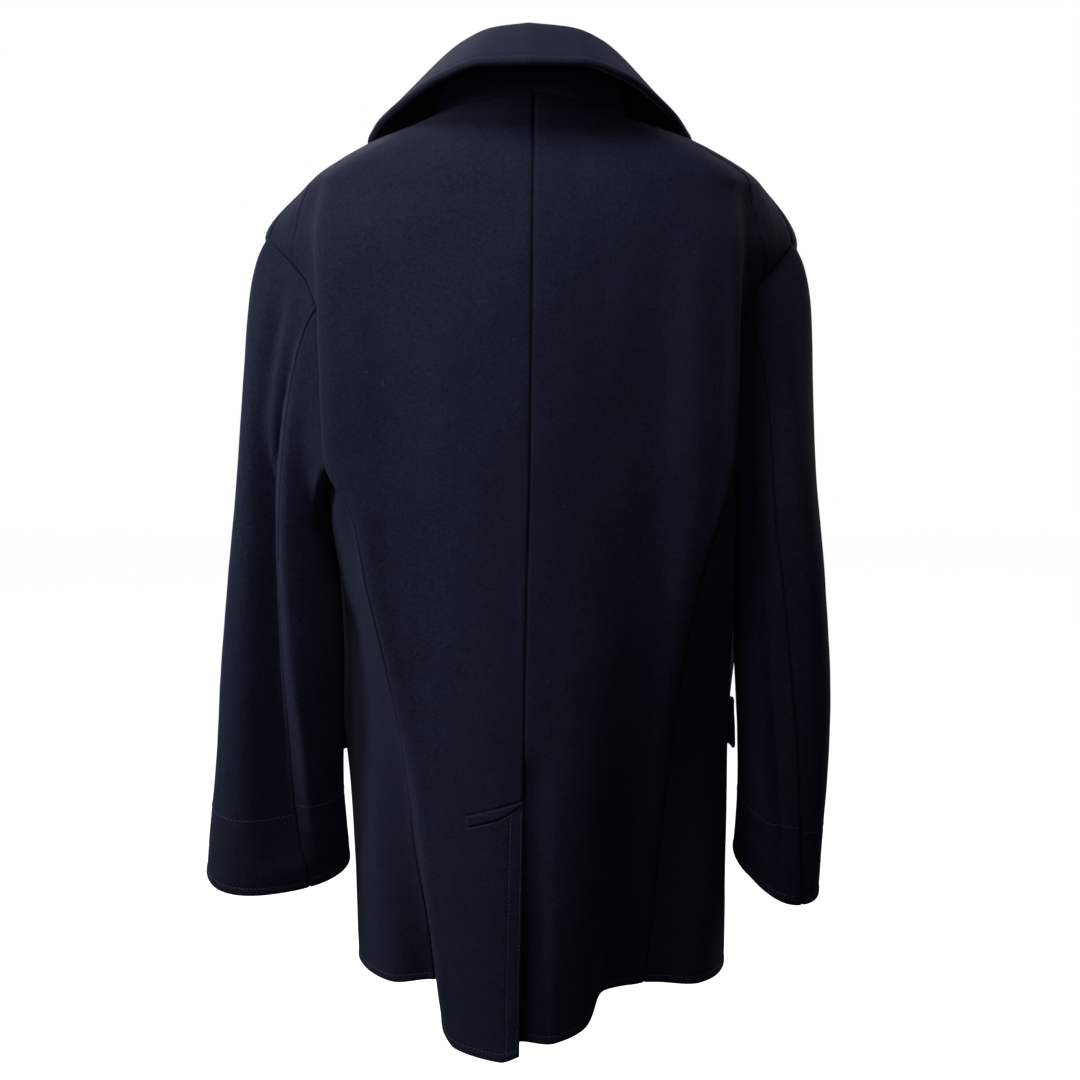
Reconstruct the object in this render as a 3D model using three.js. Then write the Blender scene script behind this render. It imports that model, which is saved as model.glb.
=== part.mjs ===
import * as THREE from 'three';

// A double-breasted wool pea coat, worn and filled out, with the front towards -Y,
// the wearer's left towards +X and zero at the middle of the neck. Sizes are in millimetres.

const clothWall = 3;
const collarWall = 5;
const flapWall = 4;
const seamGap = 0.3;
const neckBackHeight = 14;
const neckFrontTurn = 0.72;
const neckFrontHeight = -14;
const armholeCorner = -290;
const underarmDrop = 24;
const breakHeight = -300;
const overlapTurn = 0.15;
const frontLayer = 2.3;
const ventTop = -577;
const sideSeamTurn = 0.64;
const skirtRows = 13;
const armholeRows = 6;
const shoulderRows = 4;
const foldTurn = 0.3;
const sideColumns = 7;
const frontColumns = 11;
const frontFeet = [1, 2, 4, 6, 8, frontColumns];

// Columns of the back panels, as turns from the centre back out to the armpit fold. The right back
// has a second set below the vent top, where it runs on under the left one.
const leftBackStops = [0, 0.04, 0.08, 0.12, 0.16, 0.2, 0.235, 0.262, 0.284, 0.3];
const rightBackStops = [0, 0.025, 0.05, 0.075, 0.1, 0.135, 0.17, 0.21, 0.25, 0.28, 0.3];
const rightLapStops = [-0.085, -0.04, 0, 0.05, 0.1, 0.135, 0.17, 0.21, 0.25, 0.28, 0.3];
const beyondFold = [0.4, 0.75, 1];

// Level outlines of the body from the neck down to the hem. Each row is one level: the depth at the
// centre back, then the fold from the armpit, the hollow beyond it, the side back and the side.
const leftLevels = [
  { z: 30, back: 60, foldX: 44, foldY: 48, hollowX: 52, hollowY: 42,
    rearX: 60, rearY: 32, sideX: 64, sideY: 2 },
  { z: 0, back: 76, foldX: 58, foldY: 62, hollowX: 66, hollowY: 54,
    rearX: 75, rearY: 38, sideX: 80, sideY: 2 },
  { z: -25, back: 90, foldX: 108, foldY: 68, hollowX: 118, hollowY: 60,
    rearX: 133, rearY: 36, sideX: 141, sideY: 0 },
  { z: -60, back: 103, foldX: 166, foldY: 64, hollowX: 176, hollowY: 50,
    rearX: 188, rearY: 30, sideX: 194, sideY: -2 },
  { z: -105, back: 110, foldX: 174, foldY: 80, hollowX: 182, hollowY: 62,
    rearX: 210, rearY: 36, sideX: 232, sideY: -2 },
  { z: -145, back: 112, foldX: 174, foldY: 88, hollowX: 177, hollowY: 67,
    rearX: 192, rearY: 40, sideX: 208, sideY: -4 },
  { z: -200, back: 115, foldX: 173, foldY: 94, hollowX: 173, hollowY: 72,
    rearX: 180, rearY: 42, sideX: 188, sideY: -6 },
  { z: -290, back: 118, foldX: 171, foldY: 97, hollowX: 168, hollowY: 77,
    rearX: 168, rearY: 44, sideX: 170, sideY: -6 },
  { z: -335, back: 118, foldX: 147, foldY: 106, hollowX: 152, hollowY: 86,
    rearX: 172, rearY: 52, sideX: 175, sideY: -12 },
  { z: -400, back: 119, foldX: 134, foldY: 109, hollowX: 142, hollowY: 90,
    rearX: 165, rearY: 44, sideX: 175, sideY: -30 },
  { z: -450, back: 120, foldX: 122, foldY: 111, hollowX: 132, hollowY: 92,
    rearX: 154, rearY: 38, sideX: 175, sideY: -38 },
  { z: -540, back: 122, foldX: 102, foldY: 113, hollowX: 114, hollowY: 84,
    rearX: 146, rearY: 36, sideX: 177, sideY: -40 },
  { z: -640, back: 123, foldX: 90, foldY: 112, hollowX: 103, hollowY: 64,
    rearX: 140, rearY: 34, sideX: 171, sideY: -40 },
  { z: -740, back: 125, foldX: 79, foldY: 108, hollowX: 90, hollowY: 42,
    rearX: 132, rearY: 32, sideX: 168, sideY: -36 },
  { z: -830, back: 126, foldX: 69, foldY: 101, hollowX: 84, hollowY: 22,
    rearX: 124, rearY: 24, sideX: 166, sideY: -36 },
];

// The same levels on the wearer's right, where a soft flute and a dip lie between the centre back
// and the long back seam. Widths are counted outwards from the middle.
const rightLevels = [
  { z: 30, fluteX: 20, fluteY: 58, dipX: 32, dipY: 54, foldX: 44, foldY: 48,
    hollowX: 52, hollowY: 42, rearX: 60, rearY: 32, sideX: 64, sideY: 2 },
  { z: 0, fluteX: 24, fluteY: 74, dipX: 38, dipY: 71, foldX: 58, foldY: 62,
    hollowX: 66, hollowY: 54, rearX: 75, rearY: 38, sideX: 80, sideY: 2 },
  { z: -25, fluteX: 40, fluteY: 88, dipX: 66, dipY: 83, foldX: 112, foldY: 69,
    hollowX: 122, hollowY: 61, rearX: 140, rearY: 36, sideX: 149, sideY: 0 },
  { z: -60, fluteX: 56, fluteY: 101, dipX: 92, dipY: 95, foldX: 168, foldY: 68,
    hollowX: 179, hollowY: 54, rearX: 195, rearY: 30, sideX: 202, sideY: -2 },
  { z: -110, fluteX: 60, fluteY: 109, dipX: 100, dipY: 106, foldX: 173, foldY: 82,
    hollowX: 181, hollowY: 64, rearX: 212, rearY: 36, sideX: 235, sideY: -2 },
  { z: -150, fluteX: 62, fluteY: 111, dipX: 100, dipY: 109, foldX: 173, foldY: 90,
    hollowX: 177, hollowY: 68, rearX: 196, rearY: 40, sideX: 214, sideY: -4 },
  { z: -200, fluteX: 62, fluteY: 114, dipX: 100, dipY: 111, foldX: 173, foldY: 94,
    hollowX: 174, hollowY: 72, rearX: 184, rearY: 42, sideX: 194, sideY: -6 },
  { z: -290, fluteX: 62, fluteY: 117, dipX: 100, dipY: 114, foldX: 172, foldY: 98,
    hollowX: 170, hollowY: 78, rearX: 174, rearY: 44, sideX: 176, sideY: -6 },
  { z: -335, fluteX: 60, fluteY: 117, dipX: 98, dipY: 113, foldX: 161, foldY: 99,
    hollowX: 165, hollowY: 84, rearX: 179, rearY: 46, sideX: 184, sideY: -14 },
  { z: -400, fluteX: 58, fluteY: 118, dipX: 92, dipY: 111, foldX: 143, foldY: 98,
    hollowX: 152, hollowY: 84, rearX: 178, rearY: 42, sideX: 188, sideY: -30 },
  { z: -450, fluteX: 56, fluteY: 119, dipX: 88, dipY: 109, foldX: 135, foldY: 93,
    hollowX: 146, hollowY: 80, rearX: 176, rearY: 40, sideX: 189, sideY: -34 },
  { z: -540, fluteX: 50, fluteY: 120, dipX: 80, dipY: 101, foldX: 124, foldY: 78,
    hollowX: 136, hollowY: 68, rearX: 168, rearY: 38, sideX: 187, sideY: -34 },
  { z: -640, fluteX: 46, fluteY: 117, dipX: 72, dipY: 84, foldX: 116, foldY: 62,
    hollowX: 130, hollowY: 56, rearX: 165, rearY: 38, sideX: 186, sideY: -24 },
  { z: -740, fluteX: 44, fluteY: 110, dipX: 67, dipY: 62, foldX: 109, foldY: 44,
    hollowX: 124, hollowY: 41, rearX: 161, rearY: 33, sideX: 187, sideY: -28 },
  { z: -830, fluteX: 42, fluteY: 98, dipX: 63, dipY: 38, foldX: 103, foldY: 28,
    hollowX: 118, hollowY: 27, rearX: 152, rearY: 26, sideX: 187, sideY: -30 },
];

// Front of the same levels, alike on both sides, with widths as shares of the side width.
const frontLevels = [
  { z: 30, hipShare: 0.94, hipY: -28, cornerShare: 0.72, cornerY: -52, front: -66 },
  { z: 0, hipShare: 0.93, hipY: -32, cornerShare: 0.70, cornerY: -56, front: -70 },
  { z: -25, hipShare: 0.82, hipY: -48, cornerShare: 0.53, cornerY: -72, front: -84 },
  { z: -60, hipShare: 0.88, hipY: -52, cornerShare: 0.64, cornerY: -88, front: -100 },
  { z: -105, hipShare: 0.85, hipY: -60, cornerShare: 0.60, cornerY: -99, front: -112 },
  { z: -200, hipShare: 0.93, hipY: -78, cornerShare: 0.73, cornerY: -116, front: -128 },
  { z: -290, hipShare: 0.95, hipY: -84, cornerShare: 0.78, cornerY: -127, front: -142 },
  { z: -400, hipShare: 1.04, hipY: -86, cornerShare: 0.80, cornerY: -126, front: -139 },
  { z: -470, hipShare: 1.05, hipY: -88, cornerShare: 0.82, cornerY: -127, front: -139 },
  { z: -540, hipShare: 1.02, hipY: -90, cornerShare: 0.82, cornerY: -130, front: -141 },
  { z: -700, hipShare: 0.98, hipY: -96, cornerShare: 0.82, cornerY: -137, front: -147 },
  { z: -830, hipShare: 0.97, hipY: -98, cornerShare: 0.81, cornerY: -139, front: -149 },
];

// Where the centre back seam runs off the middle.
const centreBack = [
  { z: 14, x: -4 }, { z: -280, x: -1 }, { z: -440, x: 3 }, { z: -577, x: 5 }, { z: -808, x: 10 },
];

// Hem height round the coat, by turn from the centre back.
const hemLine = [
  { turn: -1, z: -800 }, { turn: -0.62, z: -801 }, { turn: -0.5, z: -799 }, { turn: -0.42, z: -789 },
  { turn: -0.3, z: -785 }, { turn: -0.17, z: -788 }, { turn: -0.1, z: -800 }, { turn: 0, z: -808 },
  { turn: 0.08, z: -814 }, { turn: 0.26, z: -811 }, { turn: 0.3, z: -803 }, { turn: 0.345, z: -785 },
  { turn: 0.42, z: -788 }, { turn: 0.5, z: -796 }, { turn: 0.62, z: -800 }, { turn: 1, z: -800 },
];

// Long back seam as turns at heights, then the armhole up to the shoulder tip and the shoulder seam
// on to the neck as turns at shares of their height.
const backSeam = [
  { z: -830, left: 0.352, right: 0.30 }, { z: -640, left: 0.345, right: 0.30 },
  { z: -540, left: 0.325, right: 0.30 }, { z: -450, left: 0.308, right: 0.30 },
  { z: -325, left: 0.305, right: 0.305 }, { z: -290, left: 0.345, right: 0.345 },
];
const backArmhole = [
  { share: 0, turn: 0.345 }, { share: 0.32, turn: 0.362 }, { share: 0.61, turn: 0.378 },
  { share: 0.82, turn: 0.41 }, { share: 1, turn: 0.462 },
];
const frontArmhole = [
  { share: 0, turn: 0.64 }, { share: 0.32, turn: 0.63 }, { share: 0.61, turn: 0.60 },
  { share: 0.82, turn: 0.55 }, { share: 1, turn: 0.462 },
];
const shoulderSeam = [{ share: 0, turn: 0.462 }, { share: 0.46, turn: 0.47 }, { share: 1, turn: 0.49 }];
const shoulderTip = { left: -102, right: -108 };

// Sleeves, one row for each section down the arm: middle, half sizes, the turn of the section in
// degrees, how far the outer side and the front side are lowered, and where the back seam sits.
const leftSleeve = [
  { z: -338, x: 220, y: 4, wide: 40, deep: 62, turn: -2, outDrop: -26, frontDrop: 0, seam: 96 },
  { z: -400, x: 223, y: 5, wide: 46, deep: 58, turn: -3, outDrop: -10, frontDrop: 2, seam: 96 },
  { z: -479, x: 227, y: 4, wide: 53, deep: 52, turn: -2, outDrop: -2, frontDrop: 4, seam: 98 },
  { z: -545, x: 232, y: -2, wide: 56, deep: 46, turn: 4, outDrop: 0, frontDrop: 2, seam: 100 },
  { z: -620, x: 238, y: -12, wide: 60, deep: 39, turn: 12, outDrop: 0, frontDrop: -6, seam: 102 },
  { z: -694, x: 242, y: -24, wide: 67, deep: 33, turn: 22, outDrop: 3, frontDrop: -14, seam: 104 },
];
const rightSleeve = [
  { z: -338, x: 222, y: 2, wide: 32, deep: 66, turn: 0, outDrop: -26, frontDrop: 0, seam: 102 },
  { z: -400, x: 226, y: 4, wide: 36, deep: 64, turn: -2, outDrop: -10, frontDrop: 2, seam: 98 },
  { z: -479, x: 231, y: 2, wide: 39, deep: 60, turn: -4, outDrop: -2, frontDrop: 4, seam: 94 },
  { z: -560, x: 236, y: -6, wide: 37, deep: 57, turn: -8, outDrop: 0, frontDrop: 0, seam: 92 },
  { z: -640, x: 237, y: -18, wide: 32, deep: 53, turn: -16, outDrop: 0, frontDrop: -8, seam: 92 },
  { z: -700, x: 236, y: -28, wide: 30, deep: 50, turn: -24, outDrop: 0, frontDrop: -16, seam: 92 },
];

// Long soft creases of the sleeves: where they start and end down the arm, the angle round the
// sleeve at both ends, how deep the cloth sinks on the outer side and rises on the inner side.
const leftCreases = [
  { from: -0.35, to: 0.93, angleTop: 88, angleLow: 106, sink: 11, sinkSpan: 46, rise: 5, riseSpan: 30 },
];
const rightCreases = [
  { from: 0.05, to: 0.9, angleTop: 132, angleLow: 126, sink: 6, sinkSpan: 34, rise: 3, riseSpan: 22 },
];
const capRows = 5;
const armRows = 11;
const cuffSeamAngle = 236;

// Collar by station from the centre back to the front end: the roll and the outer edge of the leaf.
const collarStations = [
  { at: 0, rollX: 0, rollY: 58, rollZ: 65, edgeX: 0, edgeY: 128, edgeZ: 27 },
  { at: 0.2, rollX: 30, rollY: 53, rollZ: 62, edgeX: 38, edgeY: 123, edgeZ: 27 },
  { at: 0.4, rollX: 52, rollY: 38, rollZ: 55, edgeX: 74, edgeY: 105, edgeZ: 18 },
  { at: 0.58, rollX: 68, rollY: 14, rollZ: 44, edgeX: 109, edgeY: 64, edgeZ: 2 },
  { at: 0.74, rollX: 75, rollY: -10, rollZ: 30, edgeX: 135, edgeY: 8, edgeZ: -12 },
  { at: 0.88, rollX: 76, rollY: -36, rollZ: 14, edgeX: 146, edgeY: -48, edgeZ: -22 },
  { at: 1, rollX: 72, rollY: -62, rollZ: 0, edgeX: 118, edgeY: -112, edgeZ: -52 },
];
const collarShift = { left: -2, right: 5 };

const navyWool = { color: 0x14161f, roughness: 0.95, metalness: 0 };
const navyButton = { color: 0x0c0d12, roughness: 0.35, metalness: 0 };

const buttonColumns = [62, -62];
const buttonRows = [-330, -450, -570];
const buttonSize = { radius: 15, thick: 4.5, shank: 4, stand: 2.2 };

// Pocket flaps: turn of the rear and front end, height of the top edge, drop, and how far the
// rear end stands off the coat.
const pocketFlaps = {
  left: { rear: 0.535, front: 0.70, top: -540, drop: 48, slope: 14, standOff: 2 },
  right: { rear: 0.520, front: 0.695, top: -534, drop: 48, slope: 14, standOff: 1.5 },
};

// Lapel width at heights, and the height of the front neck end.
const lapelShape = [
  { z: -300, width: 7 }, { z: -260, width: 34 }, { z: -200, width: 64 }, { z: -140, width: 84 },
  { z: -100, width: 92 }, { z: -78, width: 80 },
];
const lapelTop = -78;
const lapelCross = -200;
const lapelClear = 15;
const rollRadius = 3.6;

function mix(first, second, share) {
  return first + (second - first) * share;
}

function ease(share) {
  const held = Math.min(1, Math.max(0, share));
  return held * held * (3 - 2 * held);
}

function spread(count) {
  return Array.from({ length: count + 1 }, (unused, index) => index / count);
}

// Smooth value of one named column of a table at a place along it, never swinging past its rows.
function readTable(rows, place, name, at) {
  const rising = rows[rows.length - 1][place] > rows[0][place];
  const list = rising ? rows : [...rows].reverse();
  const last = list.length - 1;
  if (at <= list[0][place]) return list[0][name];
  if (at >= list[last][place]) return list[last][name];
  let row = 0;
  while (at > list[row + 1][place]) row += 1;
  const slopeOf = (index) => (list[index + 1][name] - list[index][name])
    / (list[index + 1][place] - list[index][place]);
  const tangentAt = (index) => {
    if (index === 0) return slopeOf(0);
    if (index === last) return slopeOf(last - 1);
    const before = slopeOf(index - 1);
    const after = slopeOf(index);
    if (before * after <= 0) return 0;
    return 2 * before * after / (before + after);
  };
  const span = list[row + 1][place] - list[row][place];
  const share = (at - list[row][place]) / span;
  const square = share * share;
  const cube = square * share;
  return list[row][name] * (2 * cube - 3 * square + 1)
    + tangentAt(row) * span * (cube - 2 * square + share)
    + list[row + 1][name] * (3 * square - 2 * cube)
    + tangentAt(row + 1) * span * (cube - square);
}

// Marks of one level outline, from the right front round the back to the left front.
const outlineStore = new Map();
function outlineAt(z) {
  const key = Math.round(z * 100);
  if (outlineStore.has(key)) return outlineStore.get(key);
  const left = (name) => readTable(leftLevels, 'z', name, z);
  const right = (name) => readTable(rightLevels, 'z', name, z);
  const front = (name) => readTable(frontLevels, 'z', name, z);
  const back = left('back');
  const cornerShare = front('cornerShare');
  const corner = { left: left('sideX') * cornerShare, right: right('sideX') * cornerShare };
  const panelY = mix(front('front'), front('cornerY'), 0.3);
  const marks = [
    { turn: 0, x: readTable(centreBack, 'z', 'x', z), y: back },
    { turn: 0.13, x: mix(0, left('foldX'), 0.46), y: mix(back, left('foldY'), 0.16) + 1 },
    { turn: 0.25, x: mix(0, left('foldX'), 0.86), y: mix(back, left('foldY'), 0.72) + 2 },
    { turn: 0.3, x: left('foldX'), y: left('foldY') },
    { turn: 0.345, x: left('hollowX'), y: left('hollowY') },
    { turn: 0.42, x: left('rearX'), y: left('rearY') },
    { turn: 0.5, x: left('sideX'), y: left('sideY') },
    { turn: 0.64, x: left('sideX') * front('hipShare'), y: front('hipY') },
    { turn: 0.76, x: corner.left, y: front('cornerY') },
    { turn: 0.88, x: corner.left * 0.5, y: panelY },
    { turn: 1, x: -3, y: front('front') },
    { turn: 1.12, x: -corner.right * 0.5, y: panelY },
    { turn: 1.24, x: -corner.right, y: front('cornerY') },
    { turn: 1.36, x: -right('sideX') * front('hipShare'), y: front('hipY') },
    { turn: 1.5, x: -right('sideX'), y: right('sideY') },
    { turn: 1.58, x: -right('rearX'), y: right('rearY') },
    { turn: 1.655, x: -right('hollowX'), y: right('hollowY') },
    { turn: 1.7, x: -right('foldX'), y: right('foldY') },
    {
      turn: 1.75,
      x: -mix(right('dipX'), right('foldX'), 0.8),
      y: mix(right('dipY'), right('foldY'), 0.68),
    },
    { turn: 1.83, x: -right('dipX'), y: right('dipY') },
    { turn: 1.9, x: -right('fluteX'), y: right('fluteY') },
  ];
  outlineStore.set(key, marks);
  return marks;
}

// Point of the coat's middle surface at a turn (0 centre back, plus towards the wearer's left,
// 1 centre front) and a height.
function coatPoint(turn, z) {
  const marks = outlineAt(z);
  const count = marks.length;
  let wrapped = turn % 2;
  if (wrapped < 0) wrapped += 2;
  let index = count - 1;
  while (marks[index].turn > wrapped) index -= 1;
  const pick = (step) => marks[(index + step + count) % count];
  const nextTurn = index === count - 1 ? 2 : marks[index + 1].turn;
  const share = (wrapped - marks[index].turn) / (nextTurn - marks[index].turn);
  const [a, b, c, d] = [pick(-1), pick(0), pick(1), pick(2)];
  const gapOf = (p, q) => Math.max(0.5, Math.sqrt(Math.hypot(q.x - p.x, q.y - p.y)));
  const t1 = gapOf(a, b);
  const t2 = t1 + gapOf(b, c);
  const t3 = t2 + gapOf(c, d);
  const t = mix(t1, t2, share);
  const blend = (p, q, from, to) => ({
    x: mix(p.x, q.x, (t - from) / (to - from)),
    y: mix(p.y, q.y, (t - from) / (to - from)),
  });
  const ab = blend(a, b, 0, t1);
  const bc = blend(b, c, t1, t2);
  const cd = blend(c, d, t2, t3);
  const abc = blend(ab, bc, 0, t2);
  const bcd = blend(bc, cd, t1, t3);
  const at = blend(abc, bcd, t1, t2);
  return new THREE.Vector3(at.x, at.y, z);
}

function coatNormal(turn, z) {
  const round = coatPoint(turn + 0.002, z).sub(coatPoint(turn - 0.002, z));
  const up = coatPoint(turn, z + 2).sub(coatPoint(turn, z - 2));
  return up.cross(round).normalize();
}

// A place on the coat raised from its middle surface.
function raised(turn, z, height) {
  const normal = coatNormal(turn, z);
  return { point: coatPoint(turn, z).addScaledVector(normal, height), normal };
}

// One row of cloth through the given turns, its height running between the two ends.
function clothRow(turns, startZ, endZ, heightOf, bow) {
  const first = turns[0];
  const span = turns[turns.length - 1] - first;
  return turns.map((turn) => {
    const share = (turn - first) / span;
    const z = mix(startZ, endZ, share) + bow(share, turn);
    return { turn, z, ...raised(turn, z, heightOf(turn, z)) };
  });
}

// Draws the edges of a cloth grid back by half a seam gap.
function drawnBack(grid, edges) {
  const rows = grid.length;
  const columns = grid[0].length;
  const moved = grid.map((row) => row.map((spot) => ({ ...spot, point: spot.point.clone() })));
  const step = (row, column, toRow, toColumn, distance) => {
    const way = grid[toRow][toColumn].point.clone().sub(grid[row][column].point).normalize();
    moved[row][column].point.addScaledVector(way, distance);
  };
  for (let row = 0; row < rows; row += 1) {
    if (edges.first) step(row, 0, row, 1, edges.first);
    if (edges.last) step(row, columns - 1, row, columns - 2, edges.last);
  }
  for (let column = 0; column < columns; column += 1) {
    if (edges.low) step(0, column, 1, column, edges.low);
    if (edges.high) step(rows - 1, column, rows - 2, column, edges.high);
  }
  return moved;
}

// Closed sheet of cloth about a grid of points with normals.
function clothSheet(name, grid, wall, finish) {
  const rows = grid.length;
  const columns = grid[0].length;
  const points = [];
  for (const side of [0.5, -0.5]) {
    for (const row of grid) {
      for (const spot of row) {
        points.push(spot.point.clone().addScaledVector(spot.normal, side * (spot.wall ?? wall)));
      }
    }
  }
  const outer = (row, column) => row * columns + column;
  const inner = (row, column) => rows * columns + row * columns + column;
  const faces = [];
  const quad = (a, b, c, d) => {
    const long = points[a].distanceTo(points[c]);
    const short = points[b].distanceTo(points[d]);
    if (long <= short) faces.push(a, b, c, a, c, d);
    else faces.push(a, b, d, b, c, d);
  };
  for (let row = 0; row < rows - 1; row += 1) {
    const next = row + 1;
    for (let column = 0; column < columns - 1; column += 1) {
      quad(outer(row, column), outer(row, column + 1), outer(next, column + 1), outer(next, column));
      quad(inner(row, column), inner(next, column), inner(next, column + 1), inner(row, column + 1));
    }
  }
  for (let row = 0; row < rows - 1; row += 1) {
    quad(outer(row, 0), outer(row + 1, 0), inner(row + 1, 0), inner(row, 0));
    const end = columns - 1;
    quad(outer(row, end), inner(row, end), inner(row + 1, end), outer(row + 1, end));
  }
  for (let column = 0; column < columns - 1; column += 1) {
    quad(outer(0, column), inner(0, column), inner(0, column + 1), outer(0, column + 1));
    const top = rows - 1;
    quad(outer(top, column), outer(top, column + 1), inner(top, column + 1), inner(top, column));
  }
  return closedBody(name, points, faces, finish);
}

function closedBody(name, points, faces, finish) {
  let volume = 0;
  for (let index = 0; index < faces.length; index += 3) {
    const [a, b, c] = [points[faces[index]], points[faces[index + 1]], points[faces[index + 2]]];
    volume += a.dot(b.clone().cross(c));
  }
  const order = volume < 0 ? [0, 2, 1] : [0, 1, 2];
  const turned = [];
  for (let index = 0; index < faces.length; index += 3) {
    turned.push(...order.map((corner) => faces[index + corner]));
  }
  const places = points.flatMap((point) => [point.x, point.y, point.z]);
  const geometry = new THREE.BufferGeometry();
  geometry.setAttribute('position', new THREE.Float32BufferAttribute(places, 3));
  geometry.setIndex(turned);
  geometry.computeVertexNormals();
  const mesh = new THREE.Mesh(geometry, new THREE.MeshStandardMaterial(finish));
  mesh.name = name;
  return mesh;
}

// Heights of the rows of a body panel at its two ends, from the hem up to the neck.
function skirtHeight(turn, share) {
  return mix(readTable(hemLine, 'turn', 'z', turn), armholeCorner, share);
}

function seamSpot(seamTurn, share) {
  const hemTurn = seamTurn(-800);
  const z = skirtHeight(hemTurn, share);
  return { turn: seamTurn(z), z };
}

function hemBow(first, last, share) {
  const hemAt = (turn) => readTable(hemLine, 'turn', 'z', turn);
  return (part, turn) => (hemAt(turn) - mix(hemAt(first), hemAt(last), part)) * (1 - share);
}

const sideSign = { left: 1, right: -1 };
const flat = () => 0;

function backSeamTurn(side) {
  return (z) => sideSign[side] * readTable(backSeam, 'z', side, z);
}

// How far the right back sinks under the left beside the vent.
function ventSink(turn, z) {
  if (z > ventTop + 50) return 0;
  const depth = 3.9 * ease((ventTop + 50 - z) / 36) + 13 * ease((ventTop - z) / 200);
  return -depth * ease((turn + 0.055) / 0.05);
}

// Columns of a back panel from the centre seam to the fold, then on to its outer seam.
function backStops(side, outerTurn, lapped) {
  const stops = side === 'left' ? leftBackStops : rightBackStops;
  const chosen = lapped ? rightLapStops : stops;
  const beyond = beyondFold.map((share) => mix(foldTurn, outerTurn, share));
  return [...chosen, ...beyond].map((turn) => turn * sideSign[side]);
}

function backPanelRows(side) {
  const sink = side === 'right' ? ventSink : flat;
  const rows = [];
  for (const share of spread(skirtRows)) {
    const centreZ = skirtHeight(0, share);
    const lapped = side === 'right' && centreZ < ventTop - 4;
    const end = seamSpot(backSeamTurn(side), share);
    const turns = backStops(side, Math.abs(end.turn), lapped);
    rows.push(clothRow(turns, centreZ, end.z, sink, hemBow(turns[0], end.turn, share)));
  }
  const centreTip = -96;
  for (const share of spread(armholeRows).slice(1)) {
    const z = mix(armholeCorner, shoulderTip[side], share);
    const turns = backStops(side, readTable(backArmhole, 'share', 'turn', share), false);
    rows.push(clothRow(turns, mix(armholeCorner, centreTip, share), z, flat, flat));
  }
  for (const share of spread(shoulderRows).slice(1)) {
    const z = mix(shoulderTip[side], 0, share);
    const turns = backStops(side, readTable(shoulderSeam, 'share', 'turn', share), false);
    const bow = (part) => -9 * share * share * part * (1 - part);
    rows.push(clothRow(turns, mix(centreTip, neckBackHeight, share), z, flat, bow));
  }
  return rows;
}

function sidePanelRows(side) {
  const sign = sideSign[side];
  return spread(skirtRows).map((share) => {
    const start = seamSpot(backSeamTurn(side), share);
    const end = seamSpot(() => sign * sideSeamTurn, share);
    const first = Math.abs(start.turn);
    const turns = [
      first, mix(first, 0.42, 0.33), mix(first, 0.42, 0.67), 0.42, 0.46, 0.5, 0.57, sideSeamTurn,
    ].map((turn) => turn * sign);
    const hem = hemBow(start.turn, end.turn, share);
    const drop = underarmDrop * share * share * share;
    const bow = (part, turn) => hem(part, turn) - drop * Math.sin(Math.PI * part);
    return clothRow(turns, start.z, end.z, flat, bow);
  });
}

function rollTurn(z) {
  const share = ease(0.5 + (0.5 * (z - breakHeight)) / (neckFrontHeight - breakHeight)) * 2 - 1;
  const straight = (z - breakHeight) / (neckFrontHeight - breakHeight);
  return mix(1 + overlapTurn, neckFrontTurn, mix(straight, share, 0.35) ** 1.25);
}

// The two fronts pass over one another, the wearer's left on top.
function frontLift(side) {
  return (turn, z) => sideSign[side] * frontLayer * ease((Math.abs(turn) - 0.72) / 0.14);
}

function frontPanelRows(side) {
  const sign = sideSign[side];
  const lift = frontLift(side);
  const edge = 1 + overlapTurn;
  const through = (from, to) => spread(frontColumns).map((share) => sign * mix(from, to, share));
  const rows = [];
  for (const share of spread(skirtRows)) {
    const start = seamSpot(() => sign * sideSeamTurn, share);
    const edgeZ = mix(-800, breakHeight, share);
    rows.push(clothRow(through(sideSeamTurn, edge), start.z, edgeZ, lift, flat));
  }
  const total = armholeRows + shoulderRows;
  for (let step = 1; step <= total; step += 1) {
    const inner = mix(breakHeight, neckFrontHeight, step / total);
    const over = step <= armholeRows;
    const share = over ? step / armholeRows : (step - armholeRows) / shoulderRows;
    const z = over ? mix(armholeCorner, shoulderTip[side], share) : mix(shoulderTip[side], 0, share);
    const start = readTable(over ? frontArmhole : shoulderSeam, 'share', 'turn', share);
    rows.push(clothRow(through(start, rollTurn(inner)), z, inner, lift, flat));
  }
  return rows;
}

// Armhole loop from the shoulder tip down the back, under the arm and up the front.
function armholeLoop(back, side, front) {
  const tip = skirtRows + armholeRows;
  const loop = [];
  for (let row = tip; row > skirtRows; row -= 1) {
    loop.push({ panel: back, row, column: back[row].length - 1 });
  }
  for (let column = 0; column < sideColumns; column += 1) {
    loop.push({ panel: side, row: skirtRows, column });
  }
  for (let row = skirtRows; row < tip; row += 1) {
    loop.push({ panel: front, row, column: 0 });
  }
  return loop.map((stop) => ({ ...stop, spot: stop.panel[stop.row][stop.column] }));
}

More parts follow.
